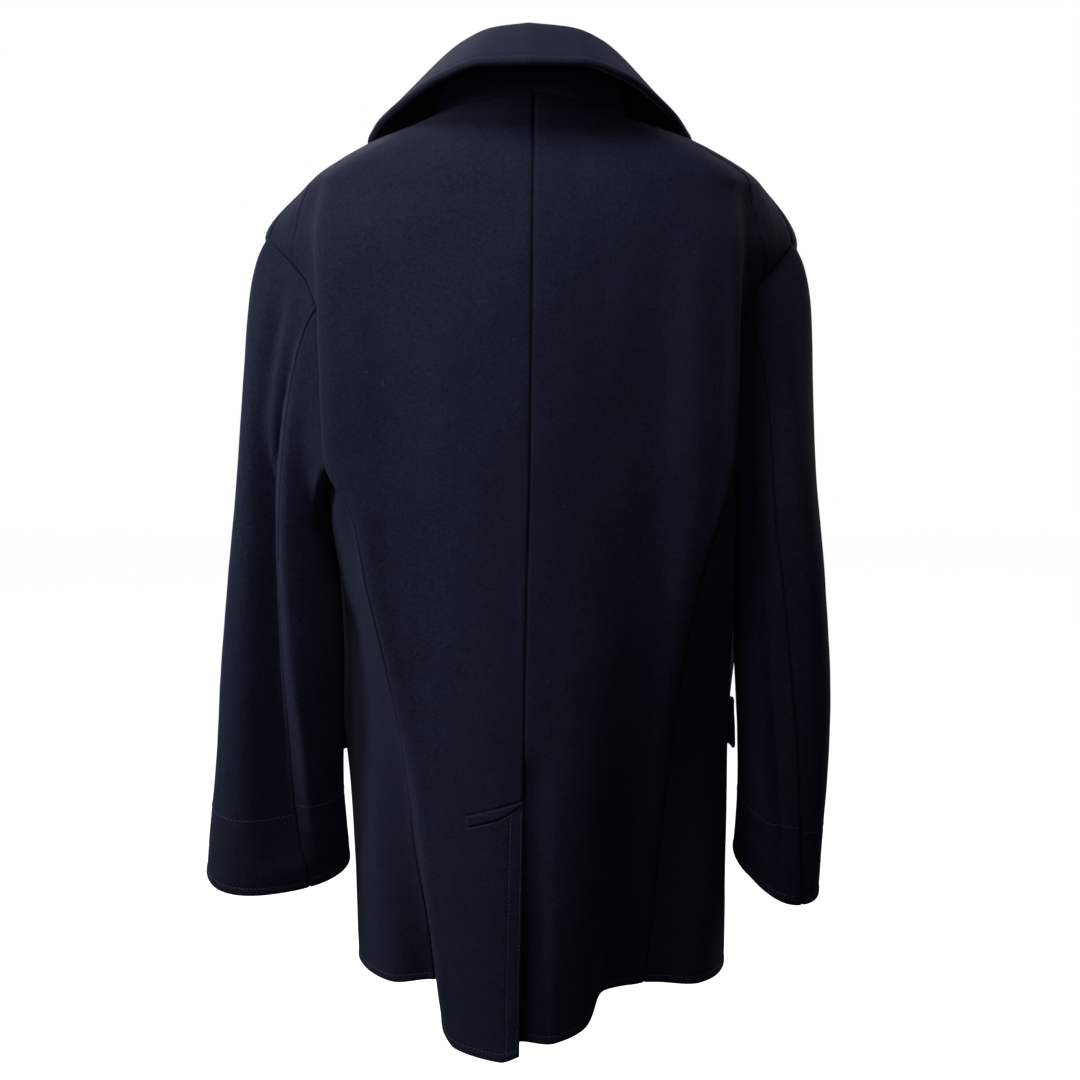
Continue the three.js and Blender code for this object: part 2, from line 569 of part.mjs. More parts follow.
// Point of a sleeve section at an angle: 0 outwards, 90 back, 180 inwards, 270 front.
function sleeveRing(table, sign, z, angle, creases, share) {
  const read = (name) => readTable(table, 'z', name, z);
  const radians = (angle * Math.PI) / 180;
  let wide = read('wide');
  let deep = read('deep');
  for (const crease of creases) {
    const along = (share - crease.from) / (crease.to - crease.from);
    if (along > 0 && along < 1) {
      const off = angle - mix(crease.angleTop, crease.angleLow, along);
      const fade = Math.sin(Math.PI * along) ** 0.6;
      const step = ease(0.5 + off / 14);
      const sunk = crease.sink * Math.exp(-((off / crease.sinkSpan) ** 2)) * (1 - step);
      const risen = crease.rise * Math.exp(-(((off - 10) / crease.riseSpan) ** 2)) * step;
      wide += (risen - sunk) * fade;
      deep += (risen - sunk) * fade;
    }
  }
  const power = 0.8;
  const cos = Math.cos(radians);
  const sin = Math.sin(radians);
  const acrossX = wide * Math.sign(cos) * Math.abs(cos) ** power;
  const acrossY = deep * Math.sign(sin) * Math.abs(sin) ** power;
  const turn = (read('turn') * Math.PI) / 180;
  const x = acrossX * Math.cos(turn) - acrossY * Math.sin(turn);
  const y = acrossX * Math.sin(turn) + acrossY * Math.cos(turn);
  const drop = read('outDrop') * cos - read('frontDrop') * sin;
  return new THREE.Vector3(sign * (read('x') + x), read('y') + y, z - drop);
}

function sleeveGrid(loop, table, creases, sign) {
  const backSeamStop = 2;
  const frontSeamStop = loop.length - 3;
  const top = table[0].z;
  const low = table[table.length - 1].z;
  const stops = [];
  for (let index = backSeamStop; index !== -loop.length + frontSeamStop; index -= 0.5) {
    stops.push({ place: index, part: 'top' });
  }
  for (let index = frontSeamStop; index > backSeamStop; index -= 1) {
    stops.push({ place: index, part: 'under' });
  }
  const topCount = stops.filter((stop) => stop.part === 'top').length;
  const underCount = stops.length - topCount;
  const angleOf = (order, z) => {
    const seam = readTable(table, 'z', 'seam', z);
    if (order <= topCount) return mix(seam, cuffSeamAngle - 360, order / topCount);
    return mix(cuffSeamAngle, seam, (order - topCount) / underCount);
  };
  const startOf = (place) => {
    const count = loop.length;
    const low = Math.floor(place);
    const first = loop[(low + count) % count].spot;
    const second = loop[(low + 1 + count) % count].spot;
    const share = place - low;
    return {
      point: first.point.clone().lerp(second.point, share),
      normal: first.normal.clone().lerp(second.normal, share).normalize(),
    };
  };
  const rows = [];
  const starts = stops.map((stop) => startOf(stop.place));
  const middle = starts.reduce((sum, start) => sum.add(start.point), new THREE.Vector3());
  middle.divideScalar(starts.length);
  for (const share of spread(capRows).slice(0, -1)) {
    rows.push(stops.map((stop, order) => {
      const start = starts[order];
      const angle = angleOf(order, top);
      const end = sleeveRing(table, sign, top, angle, creases, 0);
      const below = sleeveRing(table, sign, top - 20, angle, creases, 0);
      const length = start.point.distanceTo(end);
      const highness = ease((start.point.z - middle.z + 60) / 140);
      const away = new THREE.Vector3(sign * mix(0.75, 0.7, highness), 0, mix(-0.66, -0.7, highness));
      const leave = away.normalize().multiplyScalar(length * mix(0.9, 0.5, highness));
      const arrive = below.sub(end).normalize().multiplyScalar(length * mix(0.6, 0.8, highness));
      const square = share * share;
      const cube = square * share;
      return start.point.clone().multiplyScalar(2 * cube - 3 * square + 1)
        .addScaledVector(leave, cube - 2 * square + share)
        .addScaledVector(end, 3 * square - 2 * cube)
        .addScaledVector(arrive, cube - square);
    }));
  }
  for (const share of spread(armRows)) {
    const z = mix(top, low, share);
    const ringAt = (stop, order) => sleeveRing(table, sign, z, angleOf(order, z), creases, share);
    rows.push(stops.map(ringAt));
  }
  const count = stops.length;
  const grid = rows.map((row, level) => row.map((point, order) => {
    const above = rows[Math.max(0, level - 1)][order];
    const below = rows[Math.min(rows.length - 1, level + 1)][order];
    const before = row[(order + count - 1) % count];
    const after = row[(order + 1) % count];
    const down = below.clone().sub(above);
    const round = after.clone().sub(before);
    const normal = round.cross(down).normalize().multiplyScalar(sign);
    return { point, normal };
  }));
  // Where the sleeve meets the body both take the direction halfway between their faces.
  grid[0].forEach((spot, order) => {
    const body = starts[order].normal;
    const half = spot.normal.clone().add(body);
    const strength = Math.max(0.62, half.length() / 2);
    spot.normal = half.normalize().divideScalar(strength);
    const place = stops[order].place;
    if (Number.isInteger(place)) {
      const stop = loop[(place + loop.length) % loop.length];
      stop.mitre = spot.normal.clone();
    }
  });
  return { grid, topCount };
}

function mitreArmhole(loop, back, side, front) {
  for (const stop of loop) {
    for (const panel of [back, side, front]) {
      for (const row of panel) {
        for (const spot of row) {
          if (spot.point.distanceTo(stop.spot.point) < 0.01) spot.normal = stop.mitre.clone();
        }
      }
    }
  }
}

function sleevePieces(side, loop, table, creases) {
  const { grid, topCount } = sleeveGrid(loop, table, creases, sideSign[side]);
  const count = grid[0].length;
  const top = grid.map((row) => row.slice(0, topCount + 1));
  const under = grid.map((row) => [...row.slice(topCount), row[0]]);
  const edges = { first: seamGap / 2, last: seamGap / 2, low: seamGap / 2 };
  return [
    clothSheet(`topsleeve_${side}`, drawnBack(top, edges), clothWall, navyWool),
    clothSheet(`undersleeve_${side}`, drawnBack(under, edges), clothWall, navyWool),
  ];
}

// Collar stations take their feet from the neck edges of the back and front panels.
function neckFeet(backLeft, backRight, frontLeft, frontRight) {
  const top = backLeft.length - 1;
  const left = [];
  backLeft[top].forEach((spot) => left.push(spot));
  frontFeet.forEach((column) => left.push(frontLeft[top][column]));
  const right = [];
  backRight[top].slice(1).forEach((spot) => right.push(spot));
  frontFeet.forEach((column) => right.push(frontRight[top][column]));
  const measured = (list, sign, first) => {
    let reach = 0;
    let last = first;
    const marks = list.map((spot) => {
      reach += spot.point.distanceTo(last.point);
      last = spot;
      return { spot, reach };
    });
    return marks.map((mark) => ({ spot: mark.spot, sign, at: mark.reach / reach }));
  };
  const leftMarks = measured(left, 1, left[0]);
  const rightMarks = measured(right, -1, left[0]);
  return [...rightMarks.reverse(), ...leftMarks];
}

function collarPlace(foot, name) {
  const read = (axis) => readTable(collarStations, 'at', `${name}${axis}`, foot.at);
  const shift = foot.sign > 0 ? collarShift.left : collarShift.right;
  const x = foot.sign * (read('X') + shift * Math.sin(Math.PI * Math.min(1, foot.at * 1.4)));
  return new THREE.Vector3(x, read('Y'), read('Z'));
}

function gridWithNormals(rows, sign) {
  return rows.map((row, level) => row.map((point, column) => {
    const above = rows[Math.min(rows.length - 1, level + 1)][column];
    const below = rows[Math.max(0, level - 1)][column];
    const before = row[Math.max(0, column - 1)];
    const after = row[Math.min(row.length - 1, column + 1)];
    const up = above.clone().sub(below);
    const round = after.clone().sub(before);
    return { point, normal: up.cross(round).normalize().multiplyScalar(sign) };
  }));
}

function collarPieces(feet) {
  const outward = (point) => new THREE.Vector3(point.x, point.y, 0).normalize();
  const seamOf = (foot) => {
    const roll = collarPlace(foot, 'roll');
    return roll.addScaledVector(outward(roll), -3).add(new THREE.Vector3(0, 0, -9));
  };
  const stand = spread(4).map((share) => feet.map((foot) => {
    const point = foot.spot.point.clone().lerp(seamOf(foot), share);
    return point.addScaledVector(outward(point), Math.sin(Math.PI * share) * 2);
  }));
  const leafShares = [0, 0.05, 0.11, 0.18, 0.27, 0.4, 0.6, 0.8, 1];
  const leaf = leafShares.map((share) => feet.map((foot) => {
    const start = seamOf(foot);
    start.z += seamGap;
    const edge = collarPlace(foot, 'edge');
    const reach = start.distanceTo(edge);
    const square = share * share;
    const cube = square * share;
    const rise = new THREE.Vector3(0, 0, reach * 1.15);
    const fall = edge.clone().sub(start).addScaledVector(new THREE.Vector3(0, 0, 1), -reach * 0.25);
    return start.clone().multiplyScalar(2 * cube - 3 * square + 1)
      .addScaledVector(rise, cube - 2 * square + share)
      .addScaledVector(edge, 3 * square - 2 * cube)
      .addScaledVector(fall, (cube - square) * 0.8);
  }));
  const standGrid = gridWithNormals(stand, 1);
  const leafGrid = gridWithNormals(leaf, 1);
  standGrid[0].forEach((spot, index) => {
    const foot = feet[index].spot;
    const half = spot.normal.clone().add(foot.normal);
    const strength = Math.max(0.7, half.length() / 2);
    half.normalize().divideScalar(strength);
    spot.normal = half;
    spot.wall = clothWall;
    foot.normal = half.clone();
  });
  standGrid[standGrid.length - 1].forEach((spot, index) => {
    spot.normal = leafGrid[0][index].normal.clone();
  });
  return { standGrid, leafGrid };
}

// Carries the neck edge's mitred direction over the columns between the collar's feet.
function evenNeckEdge({ back, front }) {
  const edge = front[front.length - 1];
  edge[0].normal = back[back.length - 1][back[0].length - 1].normal.clone();
  const held = [0, ...frontFeet];
  for (let part = 1; part < held.length; part += 1) {
    const [from, to] = [held[part - 1], held[part]];
    for (let column = from + 1; column < to; column += 1) {
      const share = (column - from) / (to - from);
      edge[column].normal = edge[from].normal.clone().lerp(edge[to].normal, share);
    }
  }
}

// Turn reached by walking a distance over the coat at one height, towards the centre back.
function walkBack(turn, z, distance) {
  let place = turn;
  let left = distance;
  let spot = coatPoint(place, z);
  while (left > 0.5) {
    const next = coatPoint(place - 0.004, z);
    const step = next.distanceTo(spot);
    const share = Math.min(1, left / step);
    place -= 0.004 * share;
    left -= step * share;
    spot = next;
  }
  return place;
}

// Lapel: turned over at the roll line and lying on the front. The right one comes out from under
// the left front where the two roll lines cross.
function lapelGrid(side) {
  const sign = sideSign[side];
  const lift = frontLift(side);
  const levelAt = (share) => mix(breakHeight, neckFrontHeight, share);
  const levels = spread(armholeRows + shoulderRows).map(levelAt);
  const shown = levels.filter((z) => side === 'left' || z > lapelCross);
  const places = shown.map((z) => {
    const own = rollTurn(z);
    const gorge = ease((z - lapelTop) / (neckFrontHeight - lapelTop));
    const width = mix(readTable(lapelShape, 'z', 'width', Math.min(z, lapelTop)), 22, gorge);
    const tucked = side === 'right' ? walkBack(2 - own, z, lapelClear) : 2;
    const begin = Math.min(own, tucked);
    const turned = begin < own ? 0 : 1;
    const outer = walkBack(own, z, width);
    const finish = Math.min(outer, walkBack(begin, z, 8));
    const rollBack = walkBack(begin, z, 5) - begin;
    const row = [];
    for (const step of spread(4)) {
      const swing = Math.PI * step;
      const over = turned ? -rollBack * Math.sin(swing) * 0.72 : rollBack * step * 0.5;
      const height = turned ? rollRadius * (1 - Math.cos(swing)) : 2 * rollRadius;
      row.push({ turn: begin + over, z, height });
    }
    for (const step of spread(6).slice(1)) {
      const turn = mix(begin + (turned ? 0 : rollBack * 0.5), finish, step);
      row.push({ turn, z: z - step * gorge * 40, height: mix(2 * rollRadius, 5.2, ease(step * 1.3)) });
    }
    return row.map((spot) => {
      const turn = sign * spot.turn;
      return raised(turn, spot.z, lift(turn, spot.z) + spot.height);
    });
  });
  const grid = gridWithNormals(places.map((row) => row.map((spot) => spot.point)), sign);
  grid.forEach((row, level) => {
    row[0].normal = places[level][0].normal;
  });
  return grid;
}

function pocketFlap(side) {
  const shape = pocketFlaps[side];
  const sign = sideSign[side];
  const base = clothWall / 2 + seamGap + flapWall / 2;
  const rows = spread(4).map((down) => spread(9).map((across) => {
    const turn = sign * mix(shape.rear, shape.front, across);
    const corner = Math.max(0, Math.abs(across - 0.5) * 2 - 0.86) / 0.14;
    const z = shape.top - shape.slope * across - shape.drop * down + corner * corner * down * down * 8;
    const stand = shape.standOff * ease(1 - across * 3) * ease(down * 1.5) + 1.5 * down;
    return raised(turn, z, base + stand + frontLift(side)(turn, z));
  }));
  return clothSheet(`pocket_flap_${side}`, rows, flapWall, navyWool);
}

function coatButton(index, x, z) {
  const { radius, thick, shank, stand } = buttonSize;
  let best = 1;
  for (const turn of spread(200).map((share) => mix(0.8, 1.2, share))) {
    if (Math.abs(coatPoint(turn, z).x - x) < Math.abs(coatPoint(best, z).x - x)) best = turn;
  }
  const seat = raised(best, z, frontLift('left')(best, z) + clothWall / 2 + seamGap);
  const profile = [
    [0, 0], [shank, 0], [shank, stand], [radius * 0.86, stand], [radius, stand + thick * 0.3],
    [radius, stand + thick * 0.75], [radius * 0.9, stand + thick], [radius * 0.72, stand + thick * 0.9],
    [radius * 0.62, stand + thick * 0.66], [0, stand + thick * 0.66],
  ].map(([across, along]) => new THREE.Vector2(across, along));
  const segments = 20;
  const points = [];
  const faces = [];
  const frame = new THREE.Quaternion().setFromUnitVectors(new THREE.Vector3(0, 1, 0), seat.normal);
  const put = (x0, y0, z0) => {
    points.push(new THREE.Vector3(x0, y0, z0).applyQuaternion(frame).add(seat.point));
  };
  put(0, 0, 0);
  const rings = profile.slice(1, -1);
  for (const spot of rings) {
    for (let turn = 0; turn < segments; turn += 1) {
      const angle = (turn / segments) * Math.PI * 2;
      put(spot.x * Math.cos(angle), spot.y, spot.x * Math.sin(angle));
    }
  }
  put(0, profile[profile.length - 1].y, 0);
  const last = points.length - 1;
  const at = (ring, turn) => 1 + ring * segments + (turn % segments);
  for (let turn = 0; turn < segments; turn += 1) {
    faces.push(0, at(0, turn), at(0, turn + 1));
    faces.push(last, at(rings.length - 1, turn + 1), at(rings.length - 1, turn));
    for (let ring = 0; ring < rings.length - 1; ring += 1) {
      faces.push(at(ring, turn), at(ring + 1, turn), at(ring + 1, turn + 1));
      faces.push(at(ring, turn), at(ring + 1, turn + 1), at(ring, turn + 1));
    }
  }
  return closedBody(`button_${index}`, points, faces, navyButton);
}

function build() {
  const coat = new THREE.Group();
  coat.name = 'pea_coat';
  const panels = {};
  for (const side of ['left', 'right']) {
    panels[side] = { back: backPanelRows(side), side: sidePanelRows(side), front: frontPanelRows(side) };
  }
  const sleeves = { left: [leftSleeve, leftCreases], right: [rightSleeve, rightCreases] };
  for (const side of ['left', 'right']) {
    const { back, side: flank, front } = panels[side];
    const loop = armholeLoop(back, flank, front);
    sleevePieces(side, loop, ...sleeves[side]).forEach((piece) => coat.add(piece));
    mitreArmhole(loop, back, flank, front);
  }
  const feet = neckFeet(panels.left.back, panels.right.back, panels.left.front, panels.right.front);
  const { standGrid, leafGrid } = collarPieces(feet);
  evenNeckEdge(panels.left);
  evenNeckEdge(panels.right);
  const half = seamGap / 2;
  const standCloth = drawnBack(standGrid, { low: half, high: half });
  coat.add(clothSheet('collar_stand', standCloth, collarWall, navyWool));
  coat.add(clothSheet('collar_leaf', leafGrid, collarWall, navyWool));
  for (const side of ['left', 'right']) {
    const { back, side: flank, front } = panels[side];
    const round = { first: half, last: half, high: half };
    coat.add(clothSheet(`back_${side}`, drawnBack(back, round), clothWall, navyWool));
    coat.add(clothSheet(`side_${side}`, drawnBack(flank, round), clothWall, navyWool));
    coat.add(clothSheet(`front_${side}`, drawnBack(front, round), clothWall, navyWool));
    const lapelCloth = drawnBack(lapelGrid(side), { first: half, high: 1 });
    coat.add(clothSheet(`lapel_${side}`, lapelCloth, clothWall, navyWool));
    coat.add(pocketFlap(side));
  }
  let index = 1;
  for (const z of buttonRows) {
    for (const x of buttonColumns) {
      coat.add(coatButton(index, x, z));
      index += 1;
    }
  }
  return coat;
}

export default build();
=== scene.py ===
import math

import bpy
import numpy as np
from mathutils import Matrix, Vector


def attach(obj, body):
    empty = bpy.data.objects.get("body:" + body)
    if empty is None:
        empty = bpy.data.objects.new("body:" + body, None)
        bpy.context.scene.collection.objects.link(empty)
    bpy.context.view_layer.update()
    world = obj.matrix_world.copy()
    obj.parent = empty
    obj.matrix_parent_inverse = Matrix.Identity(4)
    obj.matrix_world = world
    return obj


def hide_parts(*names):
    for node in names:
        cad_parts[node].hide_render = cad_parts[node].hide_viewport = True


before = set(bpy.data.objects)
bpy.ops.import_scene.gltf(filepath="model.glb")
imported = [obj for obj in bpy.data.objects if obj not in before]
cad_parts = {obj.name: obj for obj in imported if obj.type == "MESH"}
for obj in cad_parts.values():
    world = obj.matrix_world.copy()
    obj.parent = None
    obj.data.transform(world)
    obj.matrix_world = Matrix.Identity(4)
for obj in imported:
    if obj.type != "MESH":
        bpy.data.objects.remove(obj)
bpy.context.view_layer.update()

# Wool pea coat seen from behind. The coat is worked out in millimetres and goes to metres as each
# mesh is made. Turns go round the body: 0 centre back, plus to the wearer's left, 1 centre front.
metresPerMm = 0.001
signOf = {"left": 1, "right": -1}


def mix(first, second, share):
    return first + (second - first) * share


def ease(share):
    held = np.clip(share, 0, 1)
    return held * held * (3 - 2 * held)


def bell(distance, width):
    return np.exp(-((distance / width) ** 2))


def unit(vectors):
    return vectors / np.maximum(np.linalg.norm(vectors, axis=-1, keepdims=True), 1e-9)


def table(names, *rows):
    columns = np.array(sorted(rows), dtype=float).T
    return dict(zip(names.split(), columns))


# cubic from start to end, with the way it leaves and the way it arrives
def cubic(start, leave, end, arrive, share):
    square, cube = share**2, share**3
    return (
        start * (2 * cube - 3 * square + 1)
        + leave * (cube - 2 * square + share)
        + end * (3 * square - 2 * cube)
        + arrive * (cube - square)
    )


# distance walked along a line of points, and down each column of a grid of points
def walked(points):
    return np.concatenate([[0], np.cumsum(np.linalg.norm(np.diff(points, axis=0), axis=1))])


def walkedDown(points):
    steps = np.linalg.norm(np.diff(points, axis=0), axis=2)
    return np.concatenate([np.zeros((1, steps.shape[1])), np.cumsum(steps, axis=0)])


# smooth value of one named column, never swinging past its rows
def readTable(rows, name, at):
    x, y = rows[next(iter(rows))], rows[name]
    step = np.diff(x)
    slope = np.diff(y) / step
    product = slope[:-1] * slope[1:]
    total = np.where(product > 0, slope[:-1] + slope[1:], 1)
    inner = np.where(product > 0, 2 * product / total, 0)
    tangent = np.concatenate([slope[:1], inner, slope[-1:]])
    held = np.clip(at, x[0], x[-1])
    row = np.clip(np.searchsorted(x, held, side="right") - 1, 0, len(step) - 1)
    share = (held - x[row]) / step[row]
    return cubic(y[row], tangent[row] * step[row], y[row + 1], tangent[row + 1] * step[row], share)


# level outlines of the body from the neck to the hem, as in the solids
leftLevels = table(
    "z back foldX foldY hollowX hollowY rearX rearY sideX sideY",
    (30, 60, 44, 48, 52, 42, 60, 32, 64, 2),
    (0, 76, 58, 62, 66, 54, 75, 38, 80, 2),
    (-25, 90, 108, 68, 118, 60, 133, 36, 141, 0),
    (-60, 103, 166, 64, 176, 50, 188, 30, 194, -2),
    (-105, 110, 174, 80, 182, 62, 210, 36, 232, -2),
    (-145, 112, 174, 88, 177, 67, 192, 40, 208, -4),
    (-200, 115, 173, 94, 173, 72, 180, 42, 188, -6),
    (-290, 118, 171, 97, 168, 77, 168, 44, 170, -6),
    (-335, 118, 147, 106, 152, 86, 172, 52, 175, -12),
    (-400, 119, 134, 109, 142, 90, 165, 44, 175, -30),
    (-450, 120, 122, 111, 132, 92, 154, 38, 175, -38),
    (-540, 122, 102, 113, 114, 84, 146, 36, 177, -40),
    (-640, 123, 90, 112, 103, 64, 140, 34, 171, -40),
    (-740, 125, 79, 108, 90, 42, 132, 32, 168, -36),
    (-830, 126, 69, 101, 84, 22, 124, 24, 166, -36),
)
rightLevels = table(
    "z fluteX fluteY dipX dipY foldX foldY hollowX hollowY rearX rearY sideX sideY",
    (30, 20, 58, 32, 54, 44, 48, 52, 42, 60, 32, 64, 2),
    (0, 24, 74, 38, 71, 58, 62, 66, 54, 75, 38, 80, 2),
    (-25, 40, 88, 66, 83, 112, 69, 122, 61, 140, 36, 149, 0),
    (-60, 56, 101, 92, 95, 168, 68, 179, 54, 195, 30, 202, -2),
    (-110, 60, 109, 100, 106, 173, 82, 181, 64, 212, 36, 235, -2),
    (-150, 62, 111, 100, 109, 173, 90, 177, 68, 196, 40, 214, -4),
    (-200, 62, 114, 100, 111, 173, 94, 174, 72, 184, 42, 194, -6),
    (-290, 62, 117, 100, 114, 172, 98, 170, 78, 174, 44, 176, -6),
    (-335, 60, 117, 98, 113, 161, 99, 165, 84, 179, 46, 184, -14),
    (-400, 58, 118, 92, 111, 143, 98, 152, 84, 178, 42, 188, -30),
    (-450, 56, 119, 88, 109, 135, 93, 146, 80, 176, 40, 189, -34),
    (-540, 50, 120, 80, 101, 124, 78, 136, 68, 168, 38, 187, -34),
    (-640, 46, 117, 72, 84, 116, 62, 130, 56, 165, 38, 186, -24),
    (-740, 44, 110, 67, 62, 109, 44, 124, 41, 161, 33, 187, -28),
    (-830, 42, 98, 63, 38, 103, 28, 118, 27, 152, 26, 187, -30),
)
frontLevels = table(
    "z hipShare hipY cornerShare cornerY front",
    (30, 0.94, -28, 0.72, -52, -66),
    (0, 0.93, -32, 0.70, -56, -70),
    (-25, 0.82, -48, 0.53, -72, -84),
    (-60, 0.88, -52, 0.64, -88, -100),
    (-105, 0.85, -60, 0.60, -99, -112),
    (-200, 0.93, -78, 0.73, -116, -128),
    (-290, 0.95, -84, 0.78, -127, -142),
    (-400, 1.04, -86, 0.80, -126, -139),
    (-470, 1.05, -88, 0.82, -127, -139),
    (-540, 1.02, -90, 0.82, -130, -141),
    (-700, 0.98, -96, 0.82, -137, -147),
    (-830, 0.97, -98, 0.81, -139, -149),
)
centreBack = table("z x", (14, -4), (-280, -1), (-440, 3), (-577, 5), (-808, 10))
hemLine = table(
    "turn z",
    (-1, -800), (-0.62, -801), (-0.5, -799), (-0.42, -789), (-0.3, -785), (-0.17, -788),
    (-0.1, -800), (0, -808), (0.08, -814), (0.26, -811), (0.3, -803), (0.345, -785),
    (0.42, -788), (0.5, -796), (0.62, -800), (1, -800),
)
backSeam = table(
    "z left right",
    (-830, 0.352, 0.30), (-640, 0.345, 0.30), (-540, 0.325, 0.30),
    (-450, 0.308, 0.30), (-325, 0.305, 0.305), (-290, 0.345, 0.345),
)
backArmhole = table("share turn", (0, 0.345), (0.32, 0.362), (0.61, 0.378), (0.82, 0.41), (1, 0.462))
frontArmhole = table("share turn", (0, 0.64), (0.32, 0.63), (0.61, 0.60), (0.82, 0.55), (1, 0.462))
shoulderSeam = table("share turn", (0, 0.462), (0.46, 0.47), (1, 0.49))

cut = {
    "wool": 3.0,
    "collar": 5.0,
    "flap": 4.0,
    "neckBack": 14,
    "neckFront": -14,
    "neckFrontTurn": 0.72,
    "armholeCorner": -290,
    "underarmDrop": 24,
    "sideSeamTurn": 0.64,
    "break": -300,
    "frontHem": -800,
    "overlap": 0.15,
    "frontLayer": 2.3,
    "layerTurn": 0.72,
    "layerOver": 0.14,
    "ventTop": -577,
    "ventUnderlap": 0.085,
    "centreTip": -96,
    "shoulderBow": 9,
    "tip": {"left": -102, "right": -108},
    "grid": 5.0,
    "seamGap": 0.3,
}


def bodyMarks():
    levels = np.arange(-850, 62, 2.0)
    left = {name: readTable(leftLevels, name, levels) for name in leftLevels}
    right = {name: readTable(rightLevels, name, levels) for name in rightLevels}
    front = {name: readTable(frontLevels, name, levels) for name in frontLevels}
    back = left["back"]
    panelY = mix(front["front"], front["cornerY"], 0.3)
    zero = np.zeros_like(levels)
    marks = [
        (0, readTable(centreBack, "x", levels), back),
        (0.13, left["foldX"] * 0.46, mix(back, left["foldY"], 0.16) + 1),
        (0.25, left["foldX"] * 0.86, mix(back, left["foldY"], 0.72) + 2),
        (0.3, left["foldX"], left["foldY"]),
        (0.345, left["hollowX"], left["hollowY"]),
        (0.42, left["rearX"], left["rearY"]),
        (0.5, left["sideX"], left["sideY"]),
        (0.64, left["sideX"] * front["hipShare"], front["hipY"]),
        (0.76, left["sideX"] * front["cornerShare"], front["cornerY"]),
        (0.88, left["sideX"] * front["cornerShare"] * 0.5, panelY),
        (1, zero - 3, front["front"]),
        (1.12, -right["sideX"] * front["cornerShare"] * 0.5, panelY),
        (1.24, -right["sideX"] * front["cornerShare"], front["cornerY"]),
        (1.36, -right["sideX"] * front["hipShare"], front["hipY"]),
        (1.5, -right["sideX"], right["sideY"]),
        (1.58, -right["rearX"], right["rearY"]),
        (1.655, -right["hollowX"], right["hollowY"]),
        (1.7, -right["foldX"], right["foldY"]),
        (1.75, -mix(right["dipX"], right["foldX"], 0.8), mix(right["dipY"], right["foldY"], 0.68)),
        (1.83, -right["dipX"], right["dipY"]),
        (1.9, -right["fluteX"], right["fluteY"]),
    ]
    turns = np.array([mark[0] for mark in marks])
    places = np.stack([np.stack([mark[1], mark[2]], -1) for mark in marks], 1)
    return levels, turns, places


levels, markTurns, markPlaces = bodyMarks()


# points of the coat's middle surface at turns and heights
def coatPoints(turn, z):
    turn, z = np.broadcast_arrays(np.asarray(turn, float), np.asarray(z, float))
    shape = turn.shape
    turn, z = turn.ravel(), z.ravel()
    count = len(markTurns)
    along = (z - levels[0]) / (levels[1] - levels[0])
    row = np.clip(along.astype(int), 0, len(levels) - 2)
    share = (along - row)[:, None, None]
    marks = markPlaces[row] * (1 - share) + markPlaces[row + 1] * share
    wrapped = turn % 2
    index = np.searchsorted(markTurns, wrapped, side="right") - 1
    following = np.where(index == count - 1, 2, markTurns[(index + 1) % count])
    part = (wrapped - markTurns[index]) / (following - markTurns[index])
    each = np.arange(len(turn))
    a, b, c, d = [marks[each, (index + step) % count] for step in (-1, 0, 1, 2)]

    def gap(first, second):
        return np.maximum(0.5, np.sqrt(np.linalg.norm(second - first, axis=1)))[:, None]

    t1 = gap(a, b)
    t2 = t1 + gap(b, c)
    t3 = t2 + gap(c, d)
    t = mix(t1, t2, part[:, None])
    ab = mix(a, b, t / t1)
    bc = mix(b, c, (t - t1) / (t2 - t1))
    cd = mix(c, d, (t - t2) / (t3 - t2))
    abc = mix(ab, bc, t / t2)
    bcd = mix(bc, cd, (t - t1) / (t3 - t1))
    at = mix(abc, bcd, (t - t1) / (t2 - t1))
    return np.column_stack([at, z]).reshape(*shape, 3)


def coatNormals(turn, z):
    turn, z = np.broadcast_arrays(np.asarray(turn, float), np.asarray(z, float))
    across = coatPoints(turn + 0.002, z) - coatPoints(turn - 0.002, z)
    up = coatPoints(turn, z + 2) - coatPoints(turn, z - 2)
    return unit(np.cross(up, across))


# how far the right back sinks under the left one beside the vent, more so towards the hem, and where
# its edge steps out under the left one
ventUnder = {
    "near": 3.9, "begins": 50, "within": 36, "far": 13, "over": 200, "turn": 0.055, "turnOver": 0.05,
    "stepAbove": 6, "stepOver": 14,
}


def ventSink(turn, z):
    under, top = ventUnder, cut["ventTop"]
    near = under["near"] * ease((top + under["begins"] - z) / under["within"])
    far = under["far"] * ease((top - z) / under["over"])
    return -(near + far) * ease((turn + under["turn"]) / under["turnOver"])


# drape of the back: the middle seam stands on a soft ridge, the halves fall away from it
drape = table(
    "x height",
    (-175, 0), (-162, 0.3), (-140, 2.2), (-108, -2.4), (-70, 3), (-30, 9.2), (0, 11.4),
    (25, 10.6), (60, 6), (100, -1.2), (120, -2.8), (145, -1), (165, 0),
)


# it grows in below the neck, halves towards the hem and dies away at the panel's side
drapeFade = {"from": -50, "over": 130, "lowFrom": -640, "lowOver": 150, "lowLess": 0.5, "edge": 30}


def drapeLift(grid):
    fade, z = drapeFade, grid["z"]
    x = coatPoints(grid["turn"], z)[..., 0]
    low = 1 - fade["lowLess"] * ease((fade["lowFrom"] - z) / fade["lowOver"])
    fall = ease((fade["from"] - z) / fade["over"]) * low
    return readTable(drape, "height", x) * fall * ease(grid["last"] / fade["edge"])


# the left front lies over the right one, each half a layer off the middle
def frontLift(side):
    half = signOf[side] * cut["frontLayer"]
    return lambda turn, z: half * ease((np.abs(turn) - cut["layerTurn"]) / cut["layerOver"])


def noLift(turn, z):
    return np.zeros(np.broadcast(turn, z).shape)


